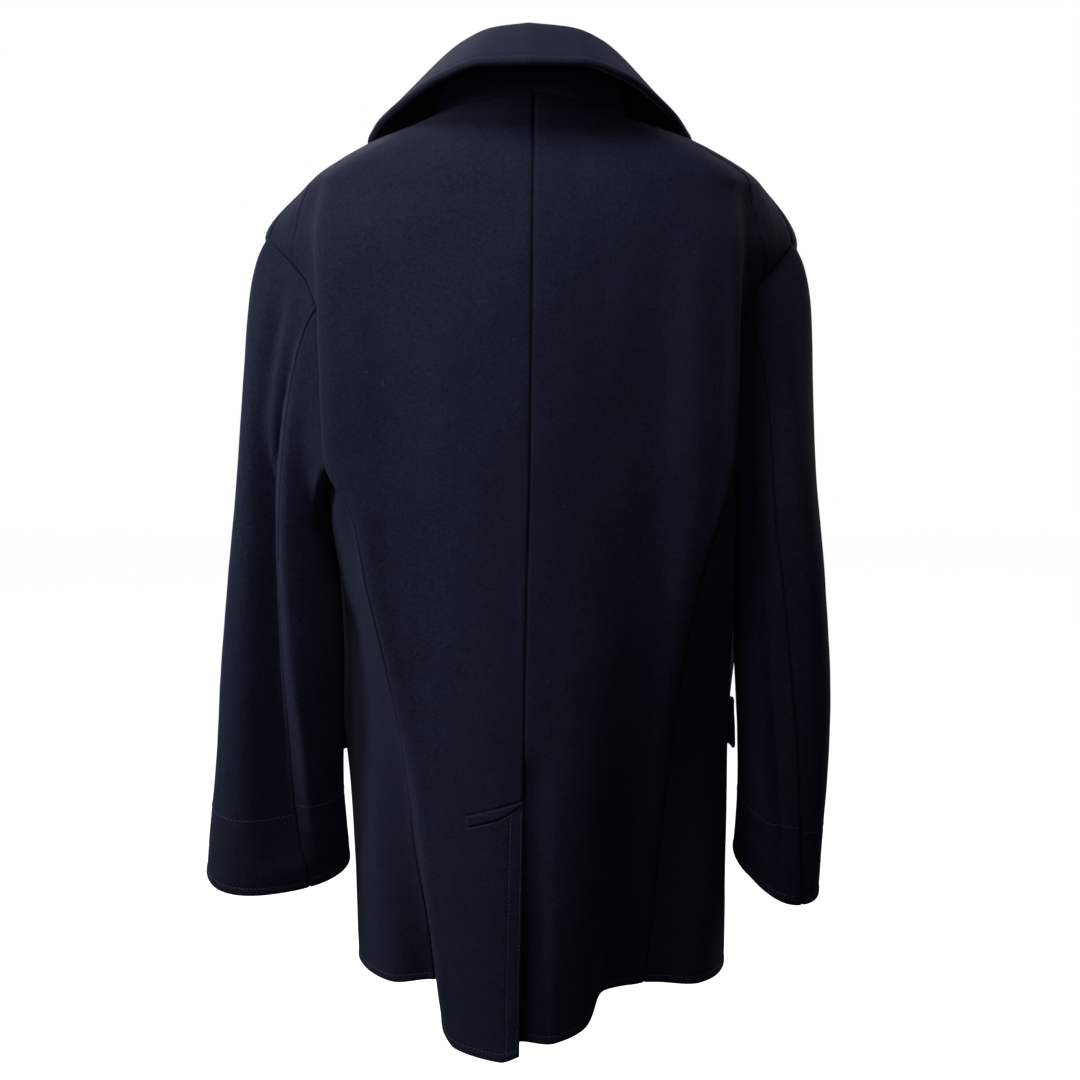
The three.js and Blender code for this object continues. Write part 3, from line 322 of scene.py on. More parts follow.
# places along an edge, in millimetres from it: close together where the cloth turns or is sewn
seamSteps = [0, 0.4, 0.9, 1.5, 2.3, 3.4, 5.2, 8]
hemSteps = [0, 0.3, 0.8, 1.5, 2.4, 3.6, 5, 6.4, 7.3, 7.9, 8.4, 8.9, 9.5, 10.4, 12, 15, 19]
edgeSteps = [0, 0.3, 0.8, 1.3, 1.8, 2.3, 3, 4.2, 6, 7.4, 8.2, 8.8, 9.4, 10, 11, 13, 16]
stitchInset = 8.4
hemRow = hemSteps.index(stitchInset)
rowSamples = 161
shortRow = 0.45


def rowPlaces(length, low, high, spacing):
    count = max(2, int(round((length - low[-1] - high[-1]) / spacing)))
    between = np.linspace(low[-1], length - high[-1], count + 1)[1:-1]
    return np.concatenate([low, between, length - np.array(high[::-1])])


# Columns are set out by distance along each row, so that edges, seams and stitch lines stay
# parallel: every row gets as many as the longest one, fitted closer where a row is short.
def columnPlaces(reaches, first, last, spacing):
    longs = [reach[-1] for reach in reaches]
    columns = max(3, int(round((max(longs) - first[-1] - last[-1]) / spacing)))
    places = []
    for long in longs:
        fit = min(1, shortRow * long / max(first[-1], last[-1]))
        near, far = np.array(first) * fit, np.array(last[::-1]) * fit
        between = np.linspace(near[-1], long - far[0], columns + 1)[1:-1]
        places.append(np.concatenate([near, between, long - far]))
    places = np.array(places)
    return {"first": places, "last": np.array(longs)[:, None] - places}


# one panel: rowAt gives, for a place up the panel, the turns and heights along the row
def panelGrid(rows, rowAt, first, last, spacing):
    samples = [rowAt(place, np.linspace(0, 1, rowSamples)) for place in rows]
    reaches = [walked(coatPoints(turn, z)) for turn, z in samples]
    grid = columnPlaces(reaches, first, last, spacing)
    for column, name in enumerate(("turn", "z")):
        placed = zip(grid["first"], reaches, samples)
        grid[name] = np.array([np.interp(at, reach, sample[column]) for at, reach, sample in placed])
    return grid


def liftedPanel(grid, lift):
    grid["normal"] = coatNormals(grid["turn"], grid["z"])
    raised = lift(grid["turn"], grid["z"])[..., None]
    grid["middle"] = coatPoints(grid["turn"], grid["z"]) + grid["normal"] * raised
    return grid


def gridNormals(points, sign=1):
    up = np.gradient(points, axis=0)
    across = np.gradient(points, axis=1)
    return unit(np.cross(up, across)) * sign


# soft unevenness of worn cloth, a fraction of a millimetre
def softWaves(points):
    x, y, z = np.moveaxis(points, -1, 0)
    wide = np.sin(x / 19 + z / 47 + 1.3) * np.sin(z / 31 - x / 61 + y / 43)
    small = np.sin(x / 7.3 - z / 17 + 0.4) * np.sin(z / 11.3 + y / 13 + x / 23)
    return 0.42 * wide + 0.10 * small


# a seam presses the outer face in towards the middle; long seams are pressed a little less
seamEdge = {"past": 0.05, "width": 1.15, "power": 1.6, "longSeam": 0.92, "sleeveSeam": 0.85}


def seamDip(distance, wall, deep=1.0):
    away = (np.abs(distance) / seamEdge["width"]) ** seamEdge["power"]
    return deep * (wall / 2 + seamEdge["past"]) * np.exp(-away)


# rounded face of a folded edge; least keeps the two faces apart at the very edge
foldEdge = {"round": 1.25, "power": 2.2, "least": 0.006}


def foldFace(distance, wall):
    radius = wall / 2
    inside = np.clip(1 - distance / (radius * foldEdge["round"]), 0, 1)
    return radius * np.sqrt(np.clip(1 - inside ** foldEdge["power"], foldEdge["least"], 1))


# closed shell from a middle surface, its normals and the two face heights
def clothShell(name, middle, normal, outer, inner):
    rows, columns = middle.shape[:2]
    points = np.concatenate([
        (middle + normal * outer[..., None]).reshape(-1, 3),
        (middle - normal * inner[..., None]).reshape(-1, 3),
    ])
    index = np.arange(rows * columns).reshape(rows, columns)
    a, b, c, d = index[:-1, :-1], index[:-1, 1:], index[1:, 1:], index[1:, :-1]
    under = rows * columns
    outerFaces = np.stack([a, b, c, d], -1).reshape(-1, 4)
    innerFaces = np.stack([a, d, c, b], -1).reshape(-1, 4) + under
    rim = np.concatenate([index[0, :], index[1:, -1], index[-1, -2::-1], index[-2:0:-1, 0]])
    following = np.roll(rim, -1)
    rimFaces = np.stack([following, rim, rim + under, following + under], -1)
    faces = np.concatenate([outerFaces, innerFaces, rimFaces])
    return clothMesh(name, points, faces)


def clothMesh(name, points, faces):
    a, b, c = points[faces[:, 0]], points[faces[:, 1]], points[faces[:, 2]]
    d = points[faces[:, 3]]
    volume = (a * np.cross(b, c)).sum() + (a * np.cross(c, d)).sum()
    if volume < 0:
        faces = faces[:, ::-1]
    mesh = bpy.data.meshes.new(name)
    mesh.from_pydata((points * metresPerMm).tolist(), [], faces.tolist())
    mesh.polygons.foreach_set("use_smooth", np.ones(len(faces), bool))
    mesh.update()
    piece = bpy.data.objects.new(name, mesh)
    bpy.context.scene.collection.objects.link(piece)
    return piece


# flat cut of a panel, measured on its middle surface below any deeply scooped edge
def cutSize(middle, scoop):
    across = np.linalg.norm(np.diff(middle[scoop:], axis=1), axis=2).sum(axis=1).max()
    along = np.linalg.norm(np.diff(middle, axis=0), axis=2).sum(axis=0).max()
    sideA = middle[1:, 1:] - middle[:-1, :-1]
    sideB = middle[:-1, 1:] - middle[1:, :-1]
    area = np.linalg.norm(np.cross(sideA, sideB), axis=2).sum() / 2
    return across * metresPerMm, along * metresPerMm, area * metresPerMm**2


def finishCloth(piece, node, middle, scoop):
    piece.data.materials.append(coatWool)
    width, length, area = cutSize(middle, scoop)
    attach(piece, "root")
    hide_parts(node)
    area = min(area, width * length)
    print(f"{piece.name}: cut {width:.3f} x {length:.3f} m, {area:.4f} m2")


# faces between rings of points that follow one another
def ringFaces(levels, count, base=0):
    faces = []
    for level in range(levels - 1):
        for turn in range(count):
            a, b = base + level * count + turn, base + level * count + (turn + 1) % count
            faces.append((a, b, b + count, a + count))
    return faces


# point or direction at a distance along a line of them
def pickAlong(values, reach, at):
    return np.array([np.interp(at, reach, values[:, axis]) for axis in range(3)])


# rows of stitches, each a short thread that rises out of the cloth and goes back in; a station is its
# share of the stitch's length, of its radius, and its rise
thread = {
    "long": 2.7, "gap": 1.1, "thick": 0.5, "proud": 0.22, "sides": 5,
    "stations": [(0, 0.25, -0.35), (0.14, 0.85, 0.1), (0.5, 1, 0.3), (0.86, 0.85, 0.1), (1, 0.25, -0.35)],
}


class StitchBook:
    def __init__(self, name):
        self.name = name
        self.points = []
        self.faces = []

    def sew(self, path, normal, long=None, gap=None, thick=None):
        long = long or thread["long"]
        gap = gap or thread["gap"]
        radius = (thick or thread["thick"]) / 2
        reach = walked(path)
        count = int((reach[-1] - 1) // (long + gap))
        spare = (reach[-1] - count * (long + gap) + gap) / 2
        for stitch in range(count):
            begin = spare + stitch * (long + gap)
            rings = []
            for share, size, rise in thread["stations"]:
                at = begin + long * share
                middle, ahead = pickAlong(path, reach, at), pickAlong(path, reach, at + 0.4)
                away = unit(pickAlong(normal, reach, at))
                along = unit(ahead - middle)
                beside = unit(np.cross(along, away))
                middle = middle + away * (rise * radius * 2 + thread["proud"] * 0.5)
                for side in range(thread["sides"]):
                    angle = 2 * math.pi * side / thread["sides"]
                    rings.append(middle + radius * size * (beside * math.cos(angle) + away * math.sin(angle)))
            self.addTube(rings, len(thread["stations"]))

    def addTube(self, rings, levelCount):
        base = len(self.points)
        sides = thread["sides"]
        self.points.extend(rings)
        self.faces.extend(ringFaces(levelCount, sides, base))
        self.faces.append(tuple(base + side for side in range(sides))[::-1])
        last = base + (levelCount - 1) * sides
        self.faces.append(tuple(last + side for side in range(sides)))

    def close(self, material):
        mesh = bpy.data.meshes.new(self.name)
        mesh.from_pydata((np.array(self.points) * metresPerMm).tolist(), [], self.faces)
        mesh.polygons.foreach_set("use_smooth", np.ones(len(self.faces), bool))
        mesh.materials.append(material)
        mesh.update()
        piece = bpy.data.objects.new(self.name, mesh)
        bpy.context.scene.collection.objects.link(piece)
        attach(piece, "root")
        print(f"{self.name}: {len(self.faces)} faces")


# wool melton: felted nap in three sizes, a little mottling, rare specks of pale lint, and painted shade along
# its seams
wool = {
    "dark": (0.0037, 0.0055, 0.0136, 1),
    "light": (0.0118, 0.0156, 0.0355, 1),
    "lint": (0.16, 0.17, 0.21, 1),
    "roughness": 0.92,
    "sheen": 0.06,
    "sheenRoughness": 0.45,
    "sheenTint": (0.55, 0.62, 1.0, 1),
    "napScale": 1150,
    "clumpScale": 460,
    "mottleScale": 46,
    "lintScale": 74,
    "lintSize": 0.026,
    "lintRarity": 0.86,
    "specular": 0.12,
    "mottleShare": 0.16,
    "toneReach": (0.34, 0.66),
    "roughLess": 0.08,
    "roughMore": 0.06,
    "bump": 0.85,
    "feltShare": 0.7,
    "feltDepth": 0.0012,
    "fibreDepth": 0.0005,
}


def addNode(tree, kind, **values):
    node = tree.nodes.new(kind)
    for name, value in values.items():
        if hasattr(node, name):
            setattr(node, name, value)
        else:
            node.inputs[name.replace("_", " ")].default_value = value
    return node


# width and near-black colour of the painted shade along the seams
seamShade = {"width": 1.15, "colour": (0.0003, 0.0004, 0.001, 1)}


# painted shade in the seam grooves: the wool's colour is darkened near black where two edges are sewn
# together, kept as a value at each point
def paintSeamShade(piece, distances):
    near = np.minimum.reduce([np.abs(distance) for distance in distances])
    paintedSeamShade = bell(near, seamShade["width"]).ravel()
    values = piece.data.attributes.new("paintedSeamShade", "FLOAT", "POINT")
    values.data.foreach_set("value", np.concatenate([paintedSeamShade, paintedSeamShade]))


# one panel from its middle surface and face heights; gives back the points of its outer face
def makePanel(node, middle, normal, outer, inner, seams=(), scoop=0):
    piece = clothShell(f"{node}_cloth", middle, normal, outer, inner)
    finishCloth(piece, node, middle, scoop)
    # the seams get painted shade in the cloth's colour
    if seams:
        paintSeamShade(piece, seams)
    return middle + normal * outer[..., None]


# soft waves of wear on the outer face, calm along its edges; the two faces never come closer than this
wear = {"calm": 12, "leastWall": 0.3}


def wornFace(outer, grid, wall):
    calm = ease(np.minimum(grid["first"], grid["last"]) / wear["calm"])
    return np.maximum(outer + softWaves(grid["middle"]) * calm, wear["leastWall"] - wall / 2)


def newFinish(name):
    material = bpy.data.materials.new(name)
    material.use_nodes = True
    return material, material.node_tree.nodes["Principled BSDF"]


# colour between two tones, led by a pattern's value
def twoTones(tree, pattern, dark, light, reach=(0, 1)):
    ramp = addNode(tree, "ShaderNodeValToRGB")
    for element, place, colour in zip(ramp.color_ramp.elements, reach, (dark, light)):
        element.position = place
        element.color = colour
    tree.links.new(pattern, ramp.inputs["Fac"])
    return ramp.outputs["Color"]


def mixColours(tree, share, below, above):
    blend = addNode(tree, "ShaderNodeMix", data_type="RGBA")
    tree.links.new(share, blend.inputs[0])
    tree.links.new(below, blend.inputs[6])
    blend.inputs[7].default_value = above
    return blend.outputs[2]


def spread(tree, pattern, low, high):
    rangeNode = addNode(tree, "ShaderNodeMapRange", To_Min=low, To_Max=high)
    tree.links.new(pattern, rangeNode.inputs["Value"])
    return rangeNode.outputs["Result"]


def compare(tree, value, operation, limit):
    test = addNode(tree, "ShaderNodeMath", operation=operation)
    tree.links.new(value, test.inputs[0])
    test.inputs[1].default_value = limit
    return test.outputs[0]


# rare pale specks: the small middles of a few cells
def lintShare(tree, place):
    speck = addNode(tree, "ShaderNodeTexVoronoi", Scale=wool["lintScale"], Randomness=1.0)
    tree.links.new(place.outputs["Object"], speck.inputs["Vector"])
    small = compare(tree, speck.outputs["Distance"], "LESS_THAN", wool["lintSize"])
    split = addNode(tree, "ShaderNodeSeparateColor")
    tree.links.new(speck.outputs["Color"], split.inputs["Color"])
    rare = compare(tree, split.outputs[0], "GREATER_THAN", wool["lintRarity"])
    both = addNode(tree, "ShaderNodeMath", operation="MULTIPLY")
    tree.links.new(small, both.inputs[0])
    tree.links.new(rare, both.inputs[1])
    return both.outputs[0]


def woolCloth():
    material, shader = newFinish("woolMelton")
    tree = material.node_tree
    shader.inputs["Specular IOR Level"].default_value = wool["specular"]
    shader.inputs["Sheen Weight"].default_value = wool["sheen"]
    shader.inputs["Sheen Roughness"].default_value = wool["sheenRoughness"]
    shader.inputs["Sheen Tint"].default_value = wool["sheenTint"]
    place = addNode(tree, "ShaderNodeTexCoord")
    nap = addNode(tree, "ShaderNodeTexNoise", Scale=wool["napScale"], Detail=3.0, Roughness=0.7)
    clump = addNode(
        tree, "ShaderNodeTexNoise",
        Scale=wool["clumpScale"], Detail=4.0, Roughness=0.62, Distortion=0.6,
    )
    mottle = addNode(tree, "ShaderNodeTexNoise", Scale=wool["mottleScale"], Detail=4.0, Roughness=0.6)
    for node in (nap, clump, mottle):
        tree.links.new(place.outputs["Object"], node.inputs["Vector"])
    blend = addNode(tree, "ShaderNodeMix", data_type="FLOAT")
    blend.inputs[0].default_value = wool["mottleShare"]
    tree.links.new(clump.outputs["Fac"], blend.inputs[2])
    tree.links.new(mottle.outputs["Fac"], blend.inputs[3])
    colour = twoTones(tree, blend.outputs[0], wool["dark"], wool["light"], wool["toneReach"])
    colour = mixColours(tree, lintShare(tree, place), colour, wool["lint"])
    # painted shade: the wool's colour goes near black along the seams
    paintedSeamShade = addNode(tree, "ShaderNodeAttribute", attribute_name="paintedSeamShade")
    colour = mixColours(tree, paintedSeamShade.outputs["Fac"], colour, seamShade["colour"])
    tree.links.new(colour, shader.inputs["Base Color"])
    low, high = wool["roughness"] - wool["roughLess"], wool["roughness"] + wool["roughMore"]
    tree.links.new(spread(tree, clump.outputs["Fac"], low, high), shader.inputs["Roughness"])
    feltBump = wool["bump"] * wool["feltShare"]
    felt = addNode(tree, "ShaderNodeBump", Strength=feltBump, Distance=wool["feltDepth"])
    tree.links.new(clump.outputs["Fac"], felt.inputs["Height"])
    fibre = addNode(tree, "ShaderNodeBump", Strength=wool["bump"], Distance=wool["fibreDepth"])
    tree.links.new(nap.outputs["Fac"], fibre.inputs["Height"])
    tree.links.new(felt.outputs["Normal"], fibre.inputs["Normal"])
    tree.links.new(fibre.outputs["Normal"], shader.inputs["Normal"])
    return material


threadLook = {
    "dark": (0.014, 0.017, 0.032, 1),
    "light": (0.045, 0.052, 0.085, 1),
    "plyScale": 900,
    "roughness": 0.5,
    "sheen": 0.2,
}


def threadFinish():
    material, shader = newFinish("navyThread")
    tree = material.node_tree
    shader.inputs["Roughness"].default_value = threadLook["roughness"]
    shader.inputs["Sheen Weight"].default_value = threadLook["sheen"]
    place = addNode(tree, "ShaderNodeTexCoord")
    ply = addNode(tree, "ShaderNodeTexNoise", Scale=threadLook["plyScale"], Detail=2.0)
    tree.links.new(place.outputs["Object"], ply.inputs["Vector"])
    colour = twoTones(tree, ply.outputs["Fac"], threadLook["dark"], threadLook["light"])
    tree.links.new(colour, shader.inputs["Base Color"])
    return material


coatWool = woolCloth()
navyThread = threadFinish()
stitches = StitchBook("body_stitches")
sleeveStitches = StitchBook("sleeve_stitches")
collarStitches = StitchBook("collar_stitches")
print("wool and thread ready")


def hemHeight(turn):
    return readTable(hemLine, "z", turn)


def skirtZ(turn, share):
    return mix(hemHeight(turn), cut["armholeCorner"], share)


def backSeamSpot(side, share):
    z = skirtZ(signOf[side] * readTable(backSeam, side, cut["frontHem"]), share)
    return signOf[side] * readTable(backSeam, side, z), z


# bow of a skirt row between its ends, so that the hem keeps its line
def hemBow(turn, part, share):
    level = mix(hemHeight(turn[0]), hemHeight(turn[-1]), part)
    return (hemHeight(turn) - level) * (1 - share)


# lengths of a panel's rows up the coat: over the skirt, and over what lies above the armhole's foot
skirtLong = 515.0
upperLongs = {"back": (196, 112), "side": (), "front": (300,)}


def backRow(side):
    sign = signOf[side]

    def rowAt(share, part):
        if share <= 1:
            centreZ = skirtZ(0.0, share)
            endTurn, endZ = backSeamSpot(side, share)
            begin = 0.0
            if side == "right":
                stepTop = cut["ventTop"] + ventUnder["stepAbove"]
                begin = cut["ventUnderlap"] * ease((stepTop - centreZ) / ventUnder["stepOver"])
            turn = mix(begin, endTurn, part)
            return turn, mix(centreZ, endZ, part) + hemBow(turn, part, share)
        if share <= 2:
            over = share - 1
            endTurn = sign * readTable(backArmhole, "turn", over)
            centreZ = mix(cut["armholeCorner"], cut["centreTip"], over)
            endZ = mix(cut["armholeCorner"], cut["tip"][side], over)
            return mix(0.0, endTurn, part), mix(centreZ, endZ, part)
        over = share - 2
        endTurn = sign * readTable(shoulderSeam, "turn", over)
        z = mix(mix(cut["centreTip"], cut["neckBack"], over), mix(cut["tip"][side], 0.0, over), part)
        return mix(0.0, endTurn, part), z - cut["shoulderBow"] * over * over * part * (1 - part)

    return rowAt


def sideRow(side):
    sign = signOf[side]

    def rowAt(share, part):
        startTurn, startZ = backSeamSpot(side, share)
        endTurn = sign * cut["sideSeamTurn"]
        endZ = skirtZ(endTurn, share)
        turn = mix(startTurn, endTurn, part)
        drop = cut["underarmDrop"] * share**3 * np.sin(np.pi * part)
        return turn, mix(startZ, endZ, part) + hemBow(turn, part, share) - drop

    return rowAt


# where the lapel rolls over, as a turn at a height: nearly straight, turning in quicker near the neck
rollLine = {"bend": 0.35, "power": 1.25}


def rollTurn(z):
    straight = (z - cut["break"]) / (cut["neckFront"] - cut["break"])
    bent = ease(0.5 + 0.5 * straight) * 2 - 1
    share = mix(straight, bent, rollLine["bend"]) ** rollLine["power"]
    return mix(1 + cut["overlap"], cut["neckFrontTurn"], share)


armholeShare = 0.6


def frontRow(side):
    sign = signOf[side]

    def rowAt(share, part):
        if share <= 1:
            start = sign * cut["sideSeamTurn"]
            end = sign * (1 + cut["overlap"])
            edgeZ = mix(cut["frontHem"], cut["break"], share)
            return mix(start, end, part), mix(skirtZ(start, share), edgeZ, part)
        rise = share - 1
        innerZ = mix(cut["break"], cut["neckFront"], rise)
        end = sign * rollTurn(innerZ)
        if rise <= armholeShare:
            over = rise / armholeShare
            start = sign * readTable(frontArmhole, "turn", over)
            startZ = mix(cut["armholeCorner"], cut["tip"][side], over)
        else:
            over = (rise - armholeShare) / (1 - armholeShare)
            start = sign * readTable(shoulderSeam, "turn", over)
            startZ = mix(cut["tip"][side], 0.0, over)
        return mix(start, end, part), mix(startZ, innerZ, part)

    return rowAt


sewnLine = {"deep": 0.4, "width": 0.8}


def stitchDip(distance, at):
    return sewnLine["deep"] * bell(distance - at, sewnLine["width"])


# faces of a folded hem: a rounded edge, two layers thick, held down by its stitch line
hemFold = {"puff": 0.5, "puffOver": 3, "turned": 0.6, "turnedTo": 34, "turnedOver": 4}


def hemFaces(distance, wall):
    fold = foldFace(distance, wall)
    over = hemFold["puffOver"]
    puff = hemFold["puff"] * ease(distance / over) * ease((stitchInset - distance) / over)
    inner = fold + hemFold["turned"] * ease((hemFold["turnedTo"] - distance) / hemFold["turnedOver"])
    return fold + puff - stitchDip(distance, stitchInset), inner


ventBar = {
    "inner": 0.5, "outer": 49.0, "innerTop": -574.5, "outerTop": -589.5,
    "tall": 10.5, "raise": 0.75, "groove": 1.0, "line": 0.85, "endGroove": 0.9, "lowGroove": 0.8,
    "tipShare": 0.35, "widening": 1.4, "soft": 2, "endSoft": 1.6, "beyond": 1.5,
    "sewFrom": 0.22, "sewTo": 0.97, "sewBelow": 1.4, "sewPoints": 40, "smoothings": 6,
}


# the bar narrows to a point at its inner end
def barTall(share):
    return ventBar["tall"] * ease(ventBar["tipShare"] + share * ventBar["widening"])


# slanted bar at the vent top: a raised strip between two sunken lines
def ventBarFace(fromEdge, z):
    bar = ventBar
    share = (fromEdge - bar["inner"]) / (bar["outer"] - bar["inner"])
    top = mix(bar["innerTop"], bar["outerTop"], share)
    down = top - z
    tall = barTall(share)
    within = ease((fromEdge - bar["inner"]) / bar["soft"])
    within = within * ease((bar["outer"] - fromEdge) / bar["endSoft"])
    strip = bar["raise"] * ease(down / bar["soft"]) * ease((tall - down) / bar["soft"])
    lines = bell(down, bar["line"]) + bar["lowGroove"] * bell(down - tall, bar["line"])
    reach = (down > -bar["beyond"]) & (down < tall + bar["beyond"])
    end = bell(fromEdge - bar["outer"], bar["line"]) * reach
    return within * (strip - bar["groove"] * lines) - bar["groove"] * end * bar["endGroove"]


# places up a panel: 0 to 1 over the skirt, 1 to 2 over the armhole, 2 to 3 over the shoulder
def bodyRows(upper, extra=()):
    if not upper:
        return rowPlaces(skirtLong, hemSteps, seamSteps, cut["grid"]) / skirtLong
    skirt = rowPlaces(skirtLong, hemSteps, [0], cut["grid"])
    parts = [np.unique(np.concatenate([skirt, extra])) / skirtLong]
    for zone, long in enumerate(upper, 1):
        high = seamSteps if zone == len(upper) else [0]
        parts.append(zone + rowPlaces(long, [0], high, cut["grid"])[1:] / long)
    return np.concatenate(parts)


# shoulder seam, set back from the shoulder edge: turn at a height, running into the armhole
shoulderLine = {
    "left": table(
        "z turn",
        (-124, 0.416), (-108, 0.394), (-94, 0.389), (-82, 0.393), (-68, 0.402), (-50, 0.424),
    ),
    "right": table(
        "z turn",
        (-132, 0.406), (-110, 0.386), (-90, 0.376), (-70, 0.372), (-50, 0.376), (-34, 0.386),
    ),
    "groove": 1.35, "width": 1.15, "lip": 0.5, "lipAway": 2.6, "lipWidth": 1.6,
    "below": 8, "above": 12,
}


# how far the face sinks along that seam, with the pressed seam allowance standing up beside it
def shoulderSink(side, grid):
    line = shoulderLine[side]
    at = signOf[side] * readTable(line, "turn", grid["z"])
    nudge = 0.01
    either = coatPoints(at + nudge, grid["z"]) - coatPoints(at - nudge, grid["z"])
    off = (grid["turn"] - at) * signOf[side] * np.linalg.norm(either, axis=-1) / (2 * nudge)
    low, high = line["z"][0], line["z"][-1]
    below, above = shoulderLine["below"], shoulderLine["above"]
    reach = ease((grid["z"] - low + below) / below) * ease((high + above - grid["z"]) / above)
    groove = shoulderLine["groove"] * bell(off, shoulderLine["width"])
    lip = shoulderLine["lip"] * bell(off - shoulderLine["lipAway"], shoulderLine["lipWidth"])
    return (groove - lip) * reach


# rows and columns set close together where the vent bar and the shoulder seam lie
ventRows = np.arange(199, 249, 1.1)
shoulderBand = (1.78, 2.64)
shoulderRows = np.arange(*shoulderBand, 0.0085)
ventStitch = {
    "far": 11.7, "near": 2.3, "long": 2.2, "ridge": 2.1, "dip": 0.25, "width": 0.7,
    "belowTop": 5, "aboveHem": 6,
}
ventOpen = {"above": 3, "over": 5, "clear": 60}
ventColumns = [0, 0.3, 0.8, 1.3, 1.8, 2.3, 2.9, 3.8, 5, 6.5, 8, 9.4, 10.4, 11.1, 11.7, 12.3, 13, 14]
ventColumns = ventColumns + list(np.arange(15.2, 54, 1.3)) + [56, 60]
shoulderColumns = list(np.arange(0, 46, 1.2)) + [48, 51, 55]


def backGrid(side):
    isLeft = side == "left"
    rows = bodyRows(upperLongs["back"], ventRows if isLeft else ())
    apart = (rows < shoulderBand[0]) | (rows > shoulderBand[1])
    rows = np.unique(np.concatenate([rows[apart], shoulderRows]))
    columns = ventColumns if isLeft else seamSteps
    grid = panelGrid(rows, backRow(side), columns, shoulderColumns, cut["grid"])
    sink = noLift if isLeft else ventSink
    liftedPanel(grid, lambda turn, z: sink(turn, z) + drapeLift(grid))
    return rows, grid


def addBack(side):
    isLeft = side == "left"
    rows, grid = backGrid(side)
    middle, normal = grid["middle"], grid["normal"]
    wall = cut["wool"]
    z, fromEdge = grid["z"], grid["first"]
    centreZ = z[:, :1]
    belowVent = ease((cut["ventTop"] + ventOpen["above"] - centreZ) / ventOpen["over"])
    fromNeck = walkedDown(middle[::-1])[::-1]
    outer, inner = hemFaces(walkedDown(middle), wall)
    outer = outer - seamDip(grid["last"], wall, seamEdge["longSeam"])
    outer = outer - seamDip(fromEdge, wall, seamEdge["longSeam"]) * (1 - belowVent)
    if isLeft:
        fold = (foldFace(fromEdge, wall) - wall / 2) * belowVent
        outer = outer + fold + ventBarFace(fromEdge, z)
        ridge = ventStitch["dip"] * bell(fromEdge - ventStitch["ridge"], ventStitch["width"])
        outer = outer - (stitchDip(fromEdge, ventStitch["far"]) + ridge) * belowVent
        inner = inner + fold
    outer = outer - seamDip(fromNeck, wall) - shoulderSink(side, grid)
    outer = wornFace(outer, grid, wall)
    seams = [grid["last"], fromEdge + ventOpen["clear"] * belowVent, fromNeck]
    face = makePanel(f"back_{side}", middle, normal, outer, inner, seams)
    stitches.sew(face[hemRow, 3:-3], normal[hemRow, 3:-3])
    if isLeft:
        tall = centreZ[:, 0] < cut["ventTop"] - ventStitch["belowTop"]
        tall = tall & (rows * skirtLong > ventStitch["aboveHem"])
        far = ventColumns.index(ventStitch["far"])
        near = ventColumns.index(ventStitch["near"])
        stitches.sew(face[tall, far], normal[tall, far])
        stitches.sew(face[tall, near], normal[tall, near], long=ventStitch["long"])
        sewVentBar(grid, face)


# stitches along the bar's lower line
def sewVentBar(grid, face):
    bar = ventBar
    path, away = [], []
    for share in np.linspace(bar["sewFrom"], bar["sewTo"], bar["sewPoints"]):
        fromEdge = mix(bar["inner"], bar["outer"], share)
        z = mix(bar["innerTop"], bar["outerTop"], share) - barTall(share) - bar["sewBelow"]
        gap = (grid["first"] - fromEdge) ** 2 + (grid["z"] - z) ** 2
        row, column = np.unravel_index(np.argmin(gap), gap.shape)
        path.append(face[row, column])
        away.append(grid["normal"][row, column])
    path = np.array(path)
    for _ in range(bar["smoothings"]):
        path = np.concatenate([path[:1], (path[:-2] + 2 * path[1:-1] + path[2:]) / 4, path[-1:]])
    stitches.sew(path, np.array(away), long=ventStitch["long"])


def addSide(side):
    rows = bodyRows(upperLongs["side"])
    grid = liftedPanel(panelGrid(rows, sideRow(side), seamSteps, seamSteps, cut["grid"]), noLift)
    middle, normal = grid["middle"], grid["normal"]
    wall = cut["wool"]
    fromArmhole = walkedDown(middle[::-1])[::-1]
    outer, inner = hemFaces(walkedDown(middle), wall)
    outer = outer - seamDip(grid["first"], wall, seamEdge["longSeam"]) - seamDip(grid["last"], wall)
    outer = wornFace(outer - seamDip(fromArmhole, wall), grid, wall)
    seams = [grid["first"], grid["last"], fromArmhole]
    face = makePanel(f"side_{side}", middle, normal, outer, inner, seams)
    stitches.sew(face[hemRow, 3:-3], normal[hemRow, 3:-3])


frontStitch = {"inset": 9.4, "aboveHem": 9}
breakFade = {"from": 1.012, "over": 0.024}


def addFront(side):
    rows = bodyRows(upperLongs["front"])
    grid = liftedPanel(panelGrid(rows, frontRow(side), seamSteps, edgeSteps, cut["grid"]), frontLift(side))
    middle, normal = grid["middle"], grid["normal"]
    wall = cut["wool"]
    edge = grid["last"]
    fromNeck = walkedDown(middle[::-1])[::-1]
    outer, inner = hemFaces(walkedDown(middle), wall)
    belowBreak = ease((breakFade["from"] - rows) / breakFade["over"])[:, None]
    fold = (foldFace(edge, wall) - wall / 2) * belowBreak
    outer = outer + fold - stitchDip(edge, frontStitch["inset"]) * belowBreak
    outer = outer - seamDip(grid["first"], wall) - seamDip(fromNeck, wall)
    outer = wornFace(outer, grid, wall)
    seams = [grid["first"], fromNeck]
    face = makePanel(f"front_{side}", middle, normal, outer, inner + fold, seams)
    stitches.sew(face[hemRow, 3:-9], normal[hemRow, 3:-9])
    column = -1 - edgeSteps.index(frontStitch["inset"])
    tall = (rows * skirtLong > frontStitch["aboveHem"]) & (rows < 1)
    stitches.sew(face[tall, column], normal[tall, column])


for side in ("left", "right"):
    addBack(side)
    addSide(side)
    addFront(side)
print("body panels cut and hung")

